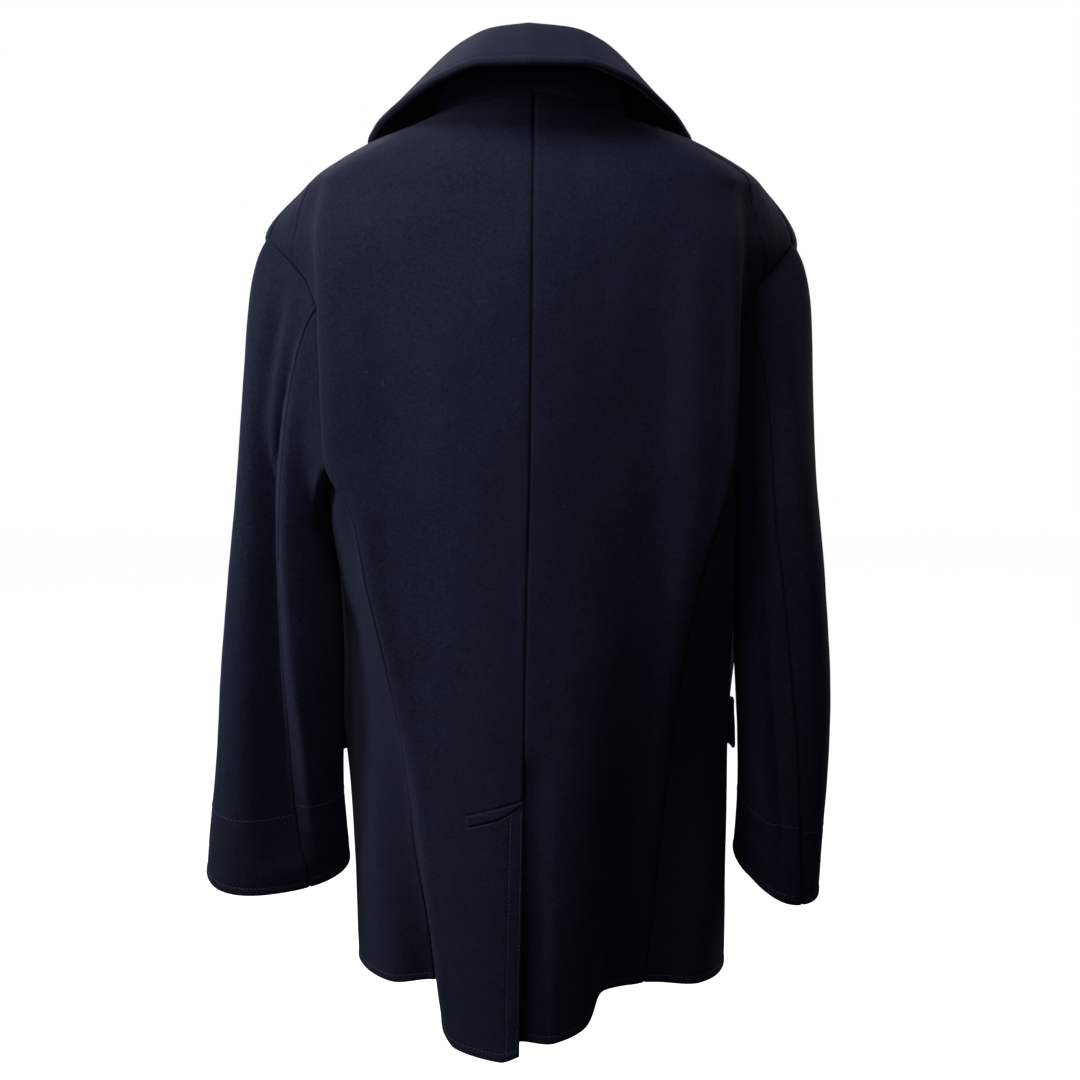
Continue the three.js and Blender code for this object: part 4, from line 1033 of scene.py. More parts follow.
# sleeves: a row for each section down the arm, as in the solids
leftSleeve = table(
    "z x y wide deep turn outDrop frontDrop seam",
    (-338, 220, 4, 40, 62, -2, -26, 0, 96),
    (-400, 223, 5, 46, 58, -3, -10, 2, 96),
    (-479, 227, 4, 53, 52, -2, -2, 4, 98),
    (-545, 232, -2, 56, 46, 4, 0, 2, 100),
    (-620, 238, -12, 60, 39, 12, 0, -6, 102),
    (-694, 242, -24, 67, 33, 22, 3, -14, 104),
)
rightSleeve = table(
    "z x y wide deep turn outDrop frontDrop seam",
    (-338, 222, 2, 32, 66, 0, -26, 0, 102),
    (-400, 226, 4, 36, 64, -2, -10, 2, 98),
    (-479, 231, 2, 39, 60, -4, -2, 4, 94),
    (-560, 236, -6, 37, 57, -8, 0, 0, 92),
    (-640, 237, -18, 32, 53, -16, 0, -8, 92),
    (-700, 236, -28, 30, 50, -24, 0, -16, 92),
)
sleeve = {
    "left": {
        "table": leftSleeve, "top": -338, "low": -694,
        "from": -0.35, "to": 0.93, "angleTop": 88, "angleLow": 106,
        "sink": 28, "sinkSpan": 27, "rise": 5, "riseSpan": 30, "cuffLine": 78,
    },
    "right": {
        "table": rightSleeve, "top": -338, "low": -700,
        "from": 0.05, "to": 0.9, "angleTop": 132, "angleLow": 126,
        "sink": 6, "sinkSpan": 34, "rise": 3, "riseSpan": 22, "cuffLine": 70,
    },
    "cuffSeamAngle": 236,
    "topOrders": 10,
    "orders": 24,
    "backPlaces": 6,
    "frontFrom": 13,
    "armholePlaces": 19,
    "underTurns": (0.42, 0.46, 0.5, 0.57, 0.64),
    "seamPlace": 2,
    "underPlace": 16,
    "capLong": 170,
    "cuffGroove": 0.45,
    "cuffLayer": 0.25,
    "ringPower": 0.8,
    "creasePower": 0.6,
    "creaseStep": 14,
    "creaseRise": 10,
}
# how the cap leaves the armhole and comes onto the arm, at the underarm and at the shoulder
capLeave = {"out": (0.75, 0.7), "down": (-0.66, -0.7), "begin": (0.9, 0.5), "end": (0.6, 0.8)}
capHigh = {"below": 60, "over": 140, "ringBelow": 20}


# the armhole as one loop: 0 at the shoulder tip, down the back, under the arm and up the front
def armholeSpots(side, place):
    sign = signOf[side]
    place = np.mod(place, sleeve["armholePlaces"])
    tip, corner = cut["tip"][side], cut["armholeCorner"]
    backPlaces, frontFrom = sleeve["backPlaces"], sleeve["frontFrom"]
    first = readTable(backSeam, side, float(corner))
    second = sleeve["underTurns"][0]
    stops = [first, mix(first, second, 0.33), mix(first, second, 0.67), *sleeve["underTurns"]]
    backShare = 1 - place / backPlaces
    frontShare = (place - frontFrom) / backPlaces
    underTurn = np.interp(place - backPlaces, np.arange(len(stops)), stops)
    underPart = (underTurn - first) / (stops[-1] - first)
    underZ = corner - cut["underarmDrop"] * np.sin(np.pi * underPart)
    onBack, onFront = place <= backPlaces, place >= frontFrom
    turn = np.where(
        onBack,
        readTable(backArmhole, "turn", backShare),
        np.where(onFront, readTable(frontArmhole, "turn", frontShare), underTurn),
    )
    z = np.where(
        onBack,
        mix(corner, tip, backShare),
        np.where(onFront, mix(corner, tip, frontShare), underZ),
    )
    return coatPoints(sign * turn, z)


# a ring of the sleeve at a height, with the crease down its back: sunk on one side, raised on the other
def sleeveRing(side, z, angle, share):
    shape = sleeve[side]
    sign = signOf[side]
    read = {name: readTable(shape["table"], name, z) for name in shape["table"] if name != "z"}
    wide, deep = read["wide"], read["deep"]
    along = np.clip((share - shape["from"]) / (shape["to"] - shape["from"]), 0, 1)
    off = (angle - mix(shape["angleTop"], shape["angleLow"], along) + 180) % 360 - 180
    fade = np.sin(np.pi * along) ** sleeve["creasePower"]
    step = ease(0.5 + off / sleeve["creaseStep"])
    sunk = shape["sink"] * bell(off, shape["sinkSpan"]) * (1 - step)
    risen = shape["rise"] * bell(off - sleeve["creaseRise"], shape["riseSpan"]) * step
    wide = wide + (risen - sunk) * fade
    deep = deep + (risen - sunk) * fade
    radians = np.radians(angle)
    cos, sin = np.cos(radians), np.sin(radians)
    acrossX = wide * np.sign(cos) * np.abs(cos) ** sleeve["ringPower"]
    acrossY = deep * np.sign(sin) * np.abs(sin) ** sleeve["ringPower"]
    turn = np.radians(read["turn"])
    x = acrossX * np.cos(turn) - acrossY * np.sin(turn)
    y = acrossX * np.sin(turn) + acrossY * np.cos(turn)
    drop = read["outDrop"] * cos - read["frontDrop"] * sin
    return np.stack([sign * (read["x"] + x), read["y"] + y, z - drop], -1)


# where an order round the sleeve meets the armhole
def armholePlace(order):
    topOrders = sleeve["topOrders"]
    under = sleeve["underPlace"] - (order - topOrders)
    return np.where(order <= topOrders, sleeve["seamPlace"] - 0.5 * order, under)


# a sleeve's surface: order runs round from the back seam, place 0 to 1 down the cap, 1 to 2 down the arm
def sleevePoints(side, order, place):
    shape = sleeve[side]
    sign = signOf[side]
    order = np.mod(order, sleeve["orders"])
    topOrders = sleeve["topOrders"]
    underOrders = sleeve["orders"] - topOrders
    z = mix(shape["top"], shape["low"], max(0.0, place - 1)) + 0 * order
    seam = readTable(shape["table"], "seam", z)
    low = sleeve["cuffSeamAngle"]
    angle = np.where(
        order <= topOrders,
        mix(seam, low - 360, order / topOrders),
        mix(low, seam, (order - topOrders) / underOrders),
    )
    if place >= 1:
        return sleeveRing(side, z, angle, place - 1)
    start = armholeSpots(side, armholePlace(order))
    end = sleeveRing(side, z, angle, 0.0)
    below = sleeveRing(side, z - capHigh["ringBelow"], angle, 0.0)
    middleZ = armholeSpots(side, armholePlace(np.arange(sleeve["orders"])))[:, 2].mean()
    long = np.linalg.norm(end - start, axis=-1)[..., None]
    high = ease((start[..., 2] - middleZ + capHigh["below"]) / capHigh["over"])[..., None]
    out, down, begin, finish = [mix(*capLeave[name], high) for name in ("out", "down", "begin", "end")]
    leave = unit(np.concatenate([sign * out, 0 * high, down], -1)) * long * begin
    arrive = unit(below - end) * long * finish
    return cubic(start, leave, end, arrive, place)


# grid over any surface, with its normals
def surfaceGrid(rows, pointsAt, ends, first, last, spacing):
    part = np.linspace(*ends, rowSamples)
    reaches = [walked(pointsAt(part, place)) for place in rows]
    grid = columnPlaces(reaches, first, last, spacing)
    middle, normal = [], []
    nudge, shift = 0.004, 0.02
    for place, reach, at in zip(rows, reaches, grid["first"]):
        order = np.interp(at, reach, part)
        low, high = max(rows[0], place - nudge), min(rows[-1], place + nudge)
        along = pointsAt(order, high) - pointsAt(order, low)
        across = pointsAt(order + shift, place) - pointsAt(order - shift, place)
        middle.append(pointsAt(order, place))
        normal.append(unit(np.cross(across, along)))
    return {**grid, "middle": np.array(middle), "normal": np.array(normal)}


# deep fold down the back of the left sleeve's head: where its edge runs, and how deep it is
headFold = table(
    "z edgeX depth",
    (-385, 222, 0), (-329, 223, 7), (-277, 228, 14), (-221, 222, 15), (-174, 213, 9), (-138, 206, 0),
)


foldSink = {"front": -12, "behind": 30, "begins": -4, "steep": 6, "deepest": 2, "width": 15}


def headFoldSink(middle):
    off = middle[..., 0] - readTable(headFold, "edgeX", middle[..., 2])
    behind = ease((middle[..., 1] - foldSink["front"]) / foldSink["behind"])
    within = ease((off - foldSink["begins"]) / foldSink["steep"])
    within = within * bell(off - foldSink["deepest"], foldSink["width"])
    return readTable(headFold, "depth", middle[..., 2]) * within * behind


def addSleeve(side, part):
    shape = sleeve[side]
    arm = shape["top"] - shape["low"]
    cuff = shape["cuffLine"]
    near = [cuff - 3, cuff - 1.6, cuff - 0.8, cuff, cuff + 0.8, cuff + 1.6, cuff + 3]
    up = np.unique(np.concatenate([rowPlaces(arm, hemSteps, [0], cut["grid"]), near]))
    armRows = (2 - up / arm)[::-1]
    capRows = rowPlaces(sleeve["capLong"], seamSteps, [0], cut["grid"])[:-1] / sleeve["capLong"]
    orders = (0, sleeve["topOrders"]) if part == "top" else (sleeve["topOrders"], sleeve["orders"])
    grid = surfaceGrid(
        np.concatenate([capRows, armRows]),
        lambda order, place: sleevePoints(side, order, place),
        orders, seamSteps, seamSteps, cut["grid"],
    )
    middle = grid["middle"]
    normal = grid["normal"] * signOf[side]
    if side == "left":
        middle[..., 1] -= headFoldSink(middle)
    wall = cut["wool"]
    fromCap = walkedDown(middle)
    fromCuff = fromCap[-1:] - fromCap
    outer, inner = hemFaces(fromCuff, wall)
    outer = outer - sleeve["cuffGroove"] * bell(fromCuff - cuff, 1.0)
    outer = outer + sleeve["cuffLayer"] * ease((cuff - fromCuff) / 3)
    outer = outer - seamDip(fromCap, wall)
    for seam in (grid["first"], grid["last"]):
        outer = outer - seamDip(seam, wall, seamEdge["sleeveSeam"])
    outer = wornFace(outer, grid, wall)
    seams = [fromCap, grid["first"], grid["last"]]
    node = f"{part}sleeve_{side}"
    face = makePanel(node, middle, normal, outer, inner, seams, scoop=len(capRows) // 2)
    for distance in (stitchInset, cuff):
        row = int(np.argmin(np.abs(fromCuff[:, 20] - distance)))
        sleeveStitches.sew(face[row, 3:-3], normal[row, 3:-3])


armholeSeam = {"radius": 0.8, "tipExtra": 0.6, "tipReach": 0.35, "sides": 8, "rings": 230}


# turned-in edges of the armhole seam, thickest at the shoulder tip, where four edges meet
def addArmholeSeam(side):
    count, sides = armholeSeam["rings"], armholeSeam["sides"]
    places = np.linspace(0, sleeve["armholePlaces"], count, endpoint=False)
    path = armholeSpots(side, places)
    fromTip = np.minimum(places, sleeve["armholePlaces"] - places)
    radius = armholeSeam["radius"] + armholeSeam["tipExtra"] * bell(fromTip, armholeSeam["tipReach"])
    along = unit(np.roll(path, -1, axis=0) - np.roll(path, 1, axis=0))
    out = unit(np.cross(along, np.array([1.0, 0, 0])))
    beside = np.cross(along, out)
    angle = 2 * np.pi * np.arange(sides) / sides
    circle = out[:, None] * np.cos(angle)[:, None] + beside[:, None] * np.sin(angle)[:, None]
    points = path[:, None] + radius[:, None, None] * circle
    index = np.arange(count * sides).reshape(count, sides)
    following = np.roll(index, -1, axis=0)
    beyond = np.roll(following, -1, axis=1)
    faces = np.stack([index, np.roll(index, -1, axis=1), beyond, following], -1)
    seam = clothMesh(f"armhole_seam_{side}", points.reshape(-1, 3), faces.reshape(-1, 4))
    seam.data.materials.append(coatWool)
    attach(seam, "root")


for side in ("left", "right"):
    addSleeve(side, "top")
    addSleeve(side, "under")
    addArmholeSeam(side)
print("sleeves set in")

# collar by station from the centre back to the front end
collarStations = table(
    "at rollX rollY rollZ edgeX edgeY edgeZ",
    (0, 0, 58, 65, 0, 128, 27),
    (0.2, 30, 53, 62, 38, 123, 27),
    (0.4, 52, 38, 55, 74, 105, 18),
    (0.58, 68, 14, 44, 109, 64, 2),
    (0.74, 75, -10, 30, 135, 8, -12),
    (0.88, 76, -36, 14, 146, -48, -22),
    (1, 72, -62, 0, 118, -112, -52),
)
collarShift = {1: -2, -1: 5}
collar = {
    "inset": 8.6, "tuckIn": 3, "tuckDown": 9, "bow": 2, "rise": 1.15, "fallUp": 0.25, "fall": 0.8,
    "puff": 1.15, "groove": 1.45, "grooveWidth": 1.3, "leafLong": 108, "grid": 4.0,
    "standThin": 1.8, "standThinTo": 0.05, "shiftOver": 1.4,
    "puffOver": 3, "calm": 14, "innerPuff": 0.4, "innerSewn": 0.5, "sewnColumn": 8.8, "sewnEnd": 9,
}


def neckEdge(side):
    part = np.linspace(0, 1, 90)
    backTurn, backZ = backRow(side)(3.0, part)
    frontTurn, frontZ = frontRow(side)(2.0, part)
    points = coatPoints(np.concatenate([backTurn, frontTurn[1:]]), np.concatenate([backZ, frontZ[1:]]))
    reach = walked(points)
    return points, reach / reach[-1]


neckEdges = {signOf[side]: neckEdge(side) for side in ("left", "right")}


# foot of the collar at a station: minus on the wearer's right, plus on the left
def collarFeet(station):
    at = np.abs(station)
    feet = []
    for sign in (-1, 1):
        points, reach = neckEdges[sign]
        feet.append(np.stack([np.interp(at, reach, points[:, axis]) for axis in range(3)], -1))
    return np.where((station < 0)[..., None], feet[0], feet[1])


def collarPlace(station, name):
    at = np.abs(station)
    sign = np.where(station < 0, -1, 1)
    shift = np.where(station < 0, collarShift[-1], collarShift[1])
    x, y, z = [readTable(collarStations, name + axis, at) for axis in "XYZ"]
    x = sign * (x + shift * np.sin(np.pi * np.minimum(1, at * collar["shiftOver"])))
    return np.stack([x, y, z], -1)


def outward(points):
    return unit(points * np.array([1, 1, 0]))


# seam between stand and leaf, tucked in and down behind the roll
def collarSeam(station):
    roll = collarPlace(station, "roll")
    return roll - collar["tuckIn"] * outward(roll) - np.array([0, 0, collar["tuckDown"]])


def standPoints(station, place):
    points = mix(collarFeet(station), collarSeam(station), place)
    return points + outward(points) * math.sin(math.pi * min(1, max(0, place))) * collar["bow"]


def leafPoints(station, place):
    start = collarSeam(station)
    edge = collarPlace(station, "edge")
    reach = np.linalg.norm(edge - start, axis=-1)[..., None]
    up = np.array([0, 0, 1.0])
    rise = up * reach * collar["rise"]
    fall = (edge - start - up * reach * collar["fallUp"]) * collar["fall"]
    return cubic(start, rise, edge, fall, place)


# the stand's outer face is thinner at its very foot
def addStand():
    wall = cut["collar"]
    rows = np.concatenate([[0, 0.01, 0.025, 0.05], np.linspace(0.1, 1, 10)])
    grid = surfaceGrid(rows, standPoints, (-1, 1), [0, 2], [0, 2], collar["grid"])
    half = np.full(grid["middle"].shape[:2], wall / 2)
    thick = np.minimum(1, rows / collar["standThinTo"])[:, None]
    face = half - (1 - thick) * collar["standThin"]
    makePanel("collar_stand", grid["middle"], -grid["normal"], face, half)


def addLeaf():
    wall = cut["collar"]
    distance = np.array(edgeSteps)
    rows = np.concatenate([np.linspace(0, 1, 46)[:-8], 1 - distance[::-1] / collar["leafLong"]])
    rows = np.unique(rows.round(5))
    leaf = surfaceGrid(rows, leafPoints, (-1, 1), edgeSteps, edgeSteps, collar["grid"])
    middle, normal = leaf["middle"], -leaf["normal"]
    fromRoll = walkedDown(middle)
    fromEdge = fromRoll[-1:] - fromRoll
    nearest = np.minimum(fromEdge, np.minimum(leaf["first"], leaf["last"]))
    fold = foldFace(nearest, wall)
    over = collar["puffOver"]
    puff = collar["puff"] * ease(nearest / over) * ease((collar["inset"] - nearest) / over)
    sewn = collar["groove"] * bell(nearest - collar["inset"], collar["grooveWidth"])
    outer = fold + puff - sewn + softWaves(middle) * ease(nearest / collar["calm"])
    inner = fold + collar["innerPuff"] * puff - collar["innerSewn"] * sewn
    face = makePanel("collar_leaf", middle, normal, outer, inner)
    row = int(np.argmin(np.abs(fromEdge[:, fromEdge.shape[1] // 2] - collar["inset"])))
    collarStitches.sew(face[row, 12:-12], normal[row, 12:-12])
    sewnColumn = edgeSteps.index(collar["sewnColumn"])
    for column in (sewnColumn, -1 - sewnColumn):
        keep = fromEdge[:, column] > collar["sewnEnd"]
        collarStitches.sew(face[keep, column][6:], normal[keep, column][6:])


addStand()
addLeaf()
print("collar turned down")

lapelShape = table("z width", (-300, 7), (-260, 34), (-200, 64), (-140, 84), (-100, 92), (-78, 80))
lapel = {
    "top": -78, "cross": -200, "clear": 15, "roll": 3.6, "levels": 64, "swing": 14, "across": 26,
    "rollBack": 5, "narrowest": 8, "gorgeWidth": 22, "gorgeDrop": 40, "tipHeight": 5.2, "swell": 0.72,
    "settle": 1.3,
}


# turn reached by walking a distance over the coat at one height, towards the centre back
def walkBack(turn, z, distance):
    turns = turn - np.linspace(0, 0.5, 251)
    return float(np.interp(distance, walked(coatPoints(turns, z)), turns))


# One row of a lapel, round its roll and across to its edge. Where the left front lies over the right
# lapel, the row starts flat beside that front instead, without a roll.
def lapelRow(side, z):
    own = float(rollTurn(z))
    gorge = float(ease((z - lapel["top"]) / (cut["neckFront"] - lapel["top"])))
    full = float(readTable(lapelShape, "width", min(z, lapel["top"])))
    width = mix(full, lapel["gorgeWidth"], gorge)
    tucked = walkBack(2 - own, z, lapel["clear"]) if side == "right" else 2
    begin = min(own, tucked)
    turned = begin >= own
    finish = min(walkBack(own, z, width), walkBack(begin, z, lapel["narrowest"]))
    rollBack = walkBack(begin, z, lapel["rollBack"]) - begin
    turns, heights, drops = [], [], []
    for step in np.linspace(0, 1, lapel["swing"] + 1):
        swing = math.pi * step
        over = -rollBack * math.sin(swing) * lapel["swell"] if turned else rollBack * step * 0.5
        turns.append(begin + over)
        heights.append(lapel["roll"] * (1 - math.cos(swing)) if turned else 2 * lapel["roll"])
        drops.append(0)
    for step in np.linspace(0, 1, lapel["across"] + 1)[1:]:
        turns.append(mix(begin + (0 if turned else rollBack * 0.5), finish, step))
        heights.append(mix(2 * lapel["roll"], lapel["tipHeight"], float(ease(step * lapel["settle"]))))
        drops.append(step * gorge * lapel["gorgeDrop"])
    turn = signOf[side] * np.array(turns)
    level = z - np.array(drops)
    height = frontLift(side)(turn, level) + np.array(heights)
    return coatPoints(turn, level) + coatNormals(turn, level) * height[:, None]


def addLapel(side):
    heights = np.linspace(cut["break"], cut["neckFront"], lapel["levels"])
    if side == "right":
        heights = heights[heights > lapel["cross"]]
    middle = np.array([lapelRow(side, z) for z in heights])
    normal = gridNormals(middle, signOf[side])
    wall = cut["wool"]
    fromRoll = walkedDown(middle.transpose(1, 0, 2)).T
    fromEdge = fromRoll[:, -1:] - fromRoll
    outer = foldFace(fromEdge, wall) - stitchDip(fromEdge, stitchInset)
    face = makePanel(f"lapel_{side}", middle, normal, outer, foldFace(fromEdge, wall))
    path, away = [], []
    for row in range(3, len(middle) - 1):
        if fromRoll[row, -1] > 20:
            inward, line = fromEdge[row, ::-1], face[row, ::-1]
            path.append([np.interp(stitchInset, inward, line[:, axis]) for axis in range(3)])
            away.append(normal[row, -4])
    collarStitches.sew(np.array(path), np.array(away))


pocketFlap = {
    "left": {"rear": 0.535, "front": 0.70, "top": -540, "standOff": 2},
    "right": {"rear": 0.520, "front": 0.695, "top": -534, "standOff": 1.5},
    "long": 118.0, "drop": 48, "slope": 14, "inset": 7, "groove": 0.5, "foldGroove": 0.9,
    "steps": [0, 0.3, 0.8, 1.5, 2.3, 3.4, 5, 6.2, 7, 7.8, 9.2, 12], "stitchLong": 2.4,
    "corner": 0.14, "cornerLift": 8, "away": 1.5, "grooveWidth": 0.9, "foldWidth": 1.2,
}


def addFlap(side):
    shape = pocketFlap[side]
    wall = cut["flap"]
    drop, long = pocketFlap["drop"], pocketFlap["long"]
    steps = np.array(pocketFlap["steps"]) / drop
    down = np.concatenate([np.linspace(0, 1 - steps[-1], 14)[:-1], 1 - steps[::-1]])
    near = np.array(pocketFlap["steps"]) / long
    across = np.concatenate([near, np.linspace(near[-1], 1 - near[-1], 26)[1:-1], 1 - near[::-1]])
    across, down = np.meshgrid(across, down)
    turn = signOf[side] * mix(shape["rear"], shape["front"], across)
    corner = np.maximum(0, np.abs(across - 0.5) * 2 - 1 + pocketFlap["corner"]) / pocketFlap["corner"]
    rounded = corner**2 * down**2 * pocketFlap["cornerLift"]
    z = shape["top"] - pocketFlap["slope"] * across - drop * down + rounded
    stand = shape["standOff"] * ease(1 - across * 3) * ease(down * 1.5) + pocketFlap["away"] * down
    height = cut["wool"] / 2 + cut["seamGap"] + wall / 2 + stand + frontLift(side)(turn, z)
    normal = coatNormals(turn, z)
    middle = coatPoints(turn, z) + normal * height[..., None]
    edge = np.minimum(np.minimum(across, 1 - across) * long, (1 - down) * drop)
    fold = foldFace(edge, wall)
    outer = fold - pocketFlap["groove"] * bell(edge - pocketFlap["inset"], pocketFlap["grooveWidth"])
    outer = outer - pocketFlap["foldGroove"] * bell(down * drop, pocketFlap["foldWidth"])
    face = makePanel(f"pocket_flap_{side}", middle, normal, outer, fold)
    sewn = pocketFlap["steps"].index(pocketFlap["inset"])
    row = len(down) - 1 - sewn
    stitches.sew(face[row, 9:-9], normal[row, 9:-9], long=pocketFlap["stitchLong"])
    for column in (sewn, -1 - sewn):
        stitches.sew(face[3:-9, column], normal[3:-9, column], long=pocketFlap["stitchLong"])


for side in ("left", "right"):
    addLapel(side)
    addFlap(side)
print("lapels and flaps laid on")

stitches.close(navyThread)
sleeveStitches.close(navyThread)
collarStitches.close(navyThread)

# sewn-on buttons: a turned rim round a sunk middle with four holes and crossed thread
buttonShape = {
    "columns": [62, -62], "rows": [-330, -450, -570], "radius": 15, "thick": 4.5, "shank": 4,
    "stand": 2.2, "segments": 48, "holeRadius": 1.25, "holeSpread": 2.6,
    "coat": 0.25, "coatRoughness": 0.2, "smooth": 0.26, "rough": 0.42,
    "dark": (0.006, 0.007, 0.011, 1), "light": (0.013, 0.014, 0.021, 1),
}
# the turned section from the middle of the back to the middle of the face: shares of radius and thickness
buttonRim = [
    (0.84, 0), (0.95, 0.10), (1, 0.34), (1, 0.66), (0.97, 0.88), (0.90, 1), (0.80, 0.99),
    (0.72, 0.86), (0.66, 0.68), (0.58, 0.62), (0.30, 0.60),
]
buttonFace = 0.60
crossThread = {"hump": 0.9, "lift": 0.1, "short": 1.2, "gap": 0.2, "thick": 1.1}


def buttonFinish():
    shape = buttonShape
    material, shader = newFinish("navyButton")
    tree = material.node_tree
    shader.inputs["Coat Weight"].default_value = shape["coat"]
    shader.inputs["Coat Roughness"].default_value = shape["coatRoughness"]
    place = addNode(tree, "ShaderNodeTexCoord")
    cloud = addNode(tree, "ShaderNodeTexNoise", Scale=160.0, Detail=4.0)
    tree.links.new(place.outputs["Object"], cloud.inputs["Vector"])
    pattern = cloud.outputs["Fac"]
    tree.links.new(twoTones(tree, pattern, shape["dark"], shape["light"]), shader.inputs["Base Color"])
    tree.links.new(spread(tree, pattern, shape["smooth"], shape["rough"]), shader.inputs["Roughness"])
    return material


def buttonSeat(x, z):
    turns = np.linspace(0.8, 1.2, 401)
    turn = float(turns[np.argmin(np.abs(coatPoints(turns, z)[:, 0] - x))])
    normal = coatNormals(turn, z)
    height = float(frontLift("left")(turn, z)) + cut["wool"] / 2 + cut["seamGap"]
    return coatPoints(turn, z) + normal * height, normal


def addButton(number, x, z, material):
    shape = buttonShape
    radius, thick, stand = shape["radius"], shape["thick"], shape["stand"]
    seat, normal = buttonSeat(x, z)
    shank, centre = shape["shank"], 0.01
    foot = -cut["seamGap"]
    profile = [(centre, foot), (shank, foot), (shank * 0.8, stand * 0.5), (shank, stand)]
    profile += [(radius * across, stand + thick * up) for across, up in buttonRim]
    profile += [(centre, stand + thick * buttonFace)]
    up = np.array([0, 0, 1.0])
    beside = unit(np.cross(up, normal))
    above = np.cross(normal, beside)
    count = shape["segments"]
    angles = np.arange(count) * 2 * math.pi / count
    ring = np.cos(angles)[:, None] * beside + np.sin(angles)[:, None] * above
    points = np.concatenate([seat + ring * across + normal * along for across, along in profile])
    body = clothMesh(f"button_{number}_turned", points, np.array(ringFaces(len(profile), count)))
    body.data.materials.append(material)
    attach(body, "root")
    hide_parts(f"button_{number}")
    face = seat + normal * (stand + thick * buttonFace)
    spots = [face + shape["holeSpread"] * (i * beside + j * above) for i in (-1, 1) for j in (-1, 1)]
    for hole in spots:
        holes.ring(hole, normal, beside, above)
    for first, second in ((0, 3), (1, 2)):
        part = np.linspace(0, 1, 9)[:, None]
        rise = np.sin(np.pi * part) * crossThread["hump"] + crossThread["lift"]
        path = mix(spots[first], spots[second], part) + normal * rise
        long = float(np.linalg.norm(spots[first] - spots[second])) - crossThread["short"]
        away = np.repeat(normal[None], 9, 0)
        buttonThread.sew(path, away, long=long, gap=crossThread["gap"], thick=crossThread["thick"])


# rims of the sewing holes, as small raised rings: each level's share of the radius, and its height
holeLevels = [(1.35, -0.1), (1.3, 0.18), (1.0, 0.2), (0.9, 0.02), (0.05, 0.02)]
holeSides = 14


class HoleBook:
    def __init__(self, name):
        self.name, self.points, self.faces = name, [], []

    def ring(self, middle, normal, beside, above):
        base = len(self.points)
        for scale, rise in holeLevels:
            for turn in range(holeSides):
                angle = 2 * math.pi * turn / holeSides
                away = beside * math.cos(angle) + above * math.sin(angle)
                self.points.append(middle + away * buttonShape["holeRadius"] * scale + normal * rise)
        self.faces.extend(ringFaces(len(holeLevels), holeSides, base))

    def close(self, material):
        piece = clothMesh(self.name, np.array(self.points), np.array(self.faces))
        piece.data.materials.append(material)
        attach(piece, "root")


holes = HoleBook("button_holes")
buttonThread = StitchBook("button_thread")
buttonPlastic = buttonFinish()
buttonSpots = [(x, z) for z in buttonShape["rows"] for x in buttonShape["columns"]]
for number, (x, z) in enumerate(buttonSpots, 1):
    addButton(number, x, z, buttonPlastic)
holes.close(buttonPlastic)
buttonThread.close(navyThread)
print("buttons sewn on")

lamps = {
    "high": {"place": (0.3, 0.55, 0.75), "size": 0.35, "power": 10.5},
    "side": {"place": (1.4, 0.44, 0.12), "size": 0.5, "power": 15},
    "soft": {"place": (0.0, 1.8, 0.0), "size": 0.8, "power": 2.9},
    "low": {"place": (0.7, 1.2, -0.9), "size": 0.5, "power": 0.8},
    "front": {"place": (0.8, -1.6, 0.8), "size": 0.9, "power": 20},
    "frontFill": {"place": (-1.3, -1.2, 0.3), "size": 0.9, "power": 9},
}
lampAim = (0, 0, -0.3)
room = {
    "strength": 0.02, "colour": (0.93, 0.96, 1, 1), "white": (1, 1, 1, 1),
    "floor": -1.32, "floorColour": (0.9, 0.9, 0.9, 1), "floorTone": 0.97, "floorHalf": 6.0,
}
# camera at the photograph's angle: its place in metres, degrees down, millimetres of lens and sensor
view = {"place": (-0.009, 1.330, -0.1566), "down": 9.23, "lens": 49.23, "sensor": 36}


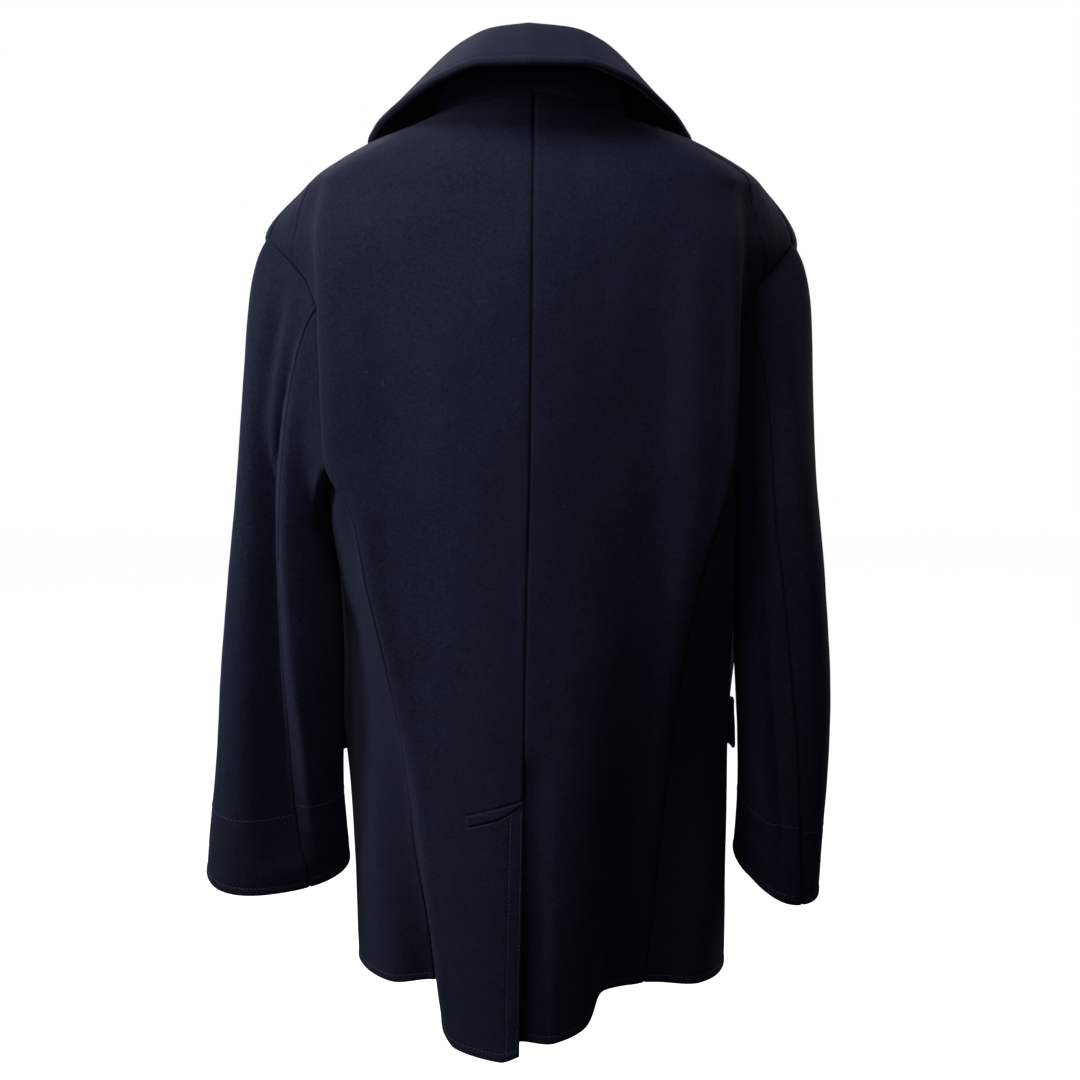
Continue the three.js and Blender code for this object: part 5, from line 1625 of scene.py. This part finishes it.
def areaLight(name, place, size, power):
    lamp = bpy.data.objects.new(name, bpy.data.lights.new(name, "AREA"))
    lamp.data.shape = "SQUARE"
    lamp.data.size = size
    lamp.data.energy = power
    lamp.location = place
    toward = np.array(lampAim) - np.array(place)
    lamp.rotation_euler = Vector(toward).to_track_quat("-Z", "Y").to_euler()
    bpy.context.scene.collection.objects.link(lamp)


def addCamera(scene):
    camera = bpy.data.objects.new("camera", bpy.data.cameras.new("camera"))
    camera.data.sensor_width = view["sensor"]
    camera.data.lens = view["lens"]
    camera.location = view["place"]
    camera.rotation_euler = (math.radians(90 - view["down"]), 0, math.radians(180))
    scene.collection.objects.link(camera)
    scene.camera = camera


# soft pale room that lights the coat a little and shows white to the camera
def addRoom(scene):
    world = bpy.data.worlds.new("paleRoom")
    scene.world = world
    world.use_nodes = True
    tree = world.node_tree
    soft = tree.nodes["Background"]
    soft.inputs["Color"].default_value = room["colour"]
    soft.inputs["Strength"].default_value = room["strength"]
    white = addNode(tree, "ShaderNodeBackground", Color=room["white"], Strength=1.0)
    sight = addNode(tree, "ShaderNodeLightPath")
    either = addNode(tree, "ShaderNodeMixShader")
    tree.links.new(sight.outputs["Is Camera Ray"], either.inputs["Fac"])
    tree.links.new(soft.outputs[0], either.inputs[1])
    tree.links.new(white.outputs[0], either.inputs[2])
    tree.links.new(either.outputs[0], tree.nodes["World Output"].inputs["Surface"])


# pale floor well below the coat, bright enough to run into the room's white
def addFloor(scene):
    half, z = room["floorHalf"], room["floor"]
    corners = [(-half, -half, z), (half, -half, z), (half, half, z), (-half, half, z)]
    mesh = bpy.data.meshes.new("floor")
    mesh.from_pydata(corners, [], [(0, 1, 2, 3)])
    floor = bpy.data.objects.new("floor", mesh)
    scene.collection.objects.link(floor)
    material, shader = newFinish("paleFloor")
    shader.inputs["Base Color"].default_value = room["floorColour"]
    shader.inputs["Emission Color"].default_value = room["white"]
    shader.inputs["Emission Strength"].default_value = room["floorTone"]
    mesh.materials.append(material)
    floor.visible_diffuse = False
    floor.visible_glossy = False


def studio():
    scene = bpy.context.scene
    scene.view_settings.view_transform = "Standard"
    scene.view_settings.look = "None"
    addCamera(scene)
    for name, lamp in lamps.items():
        areaLight(name, **lamp)
    addRoom(scene)
    addFloor(scene)


studio()
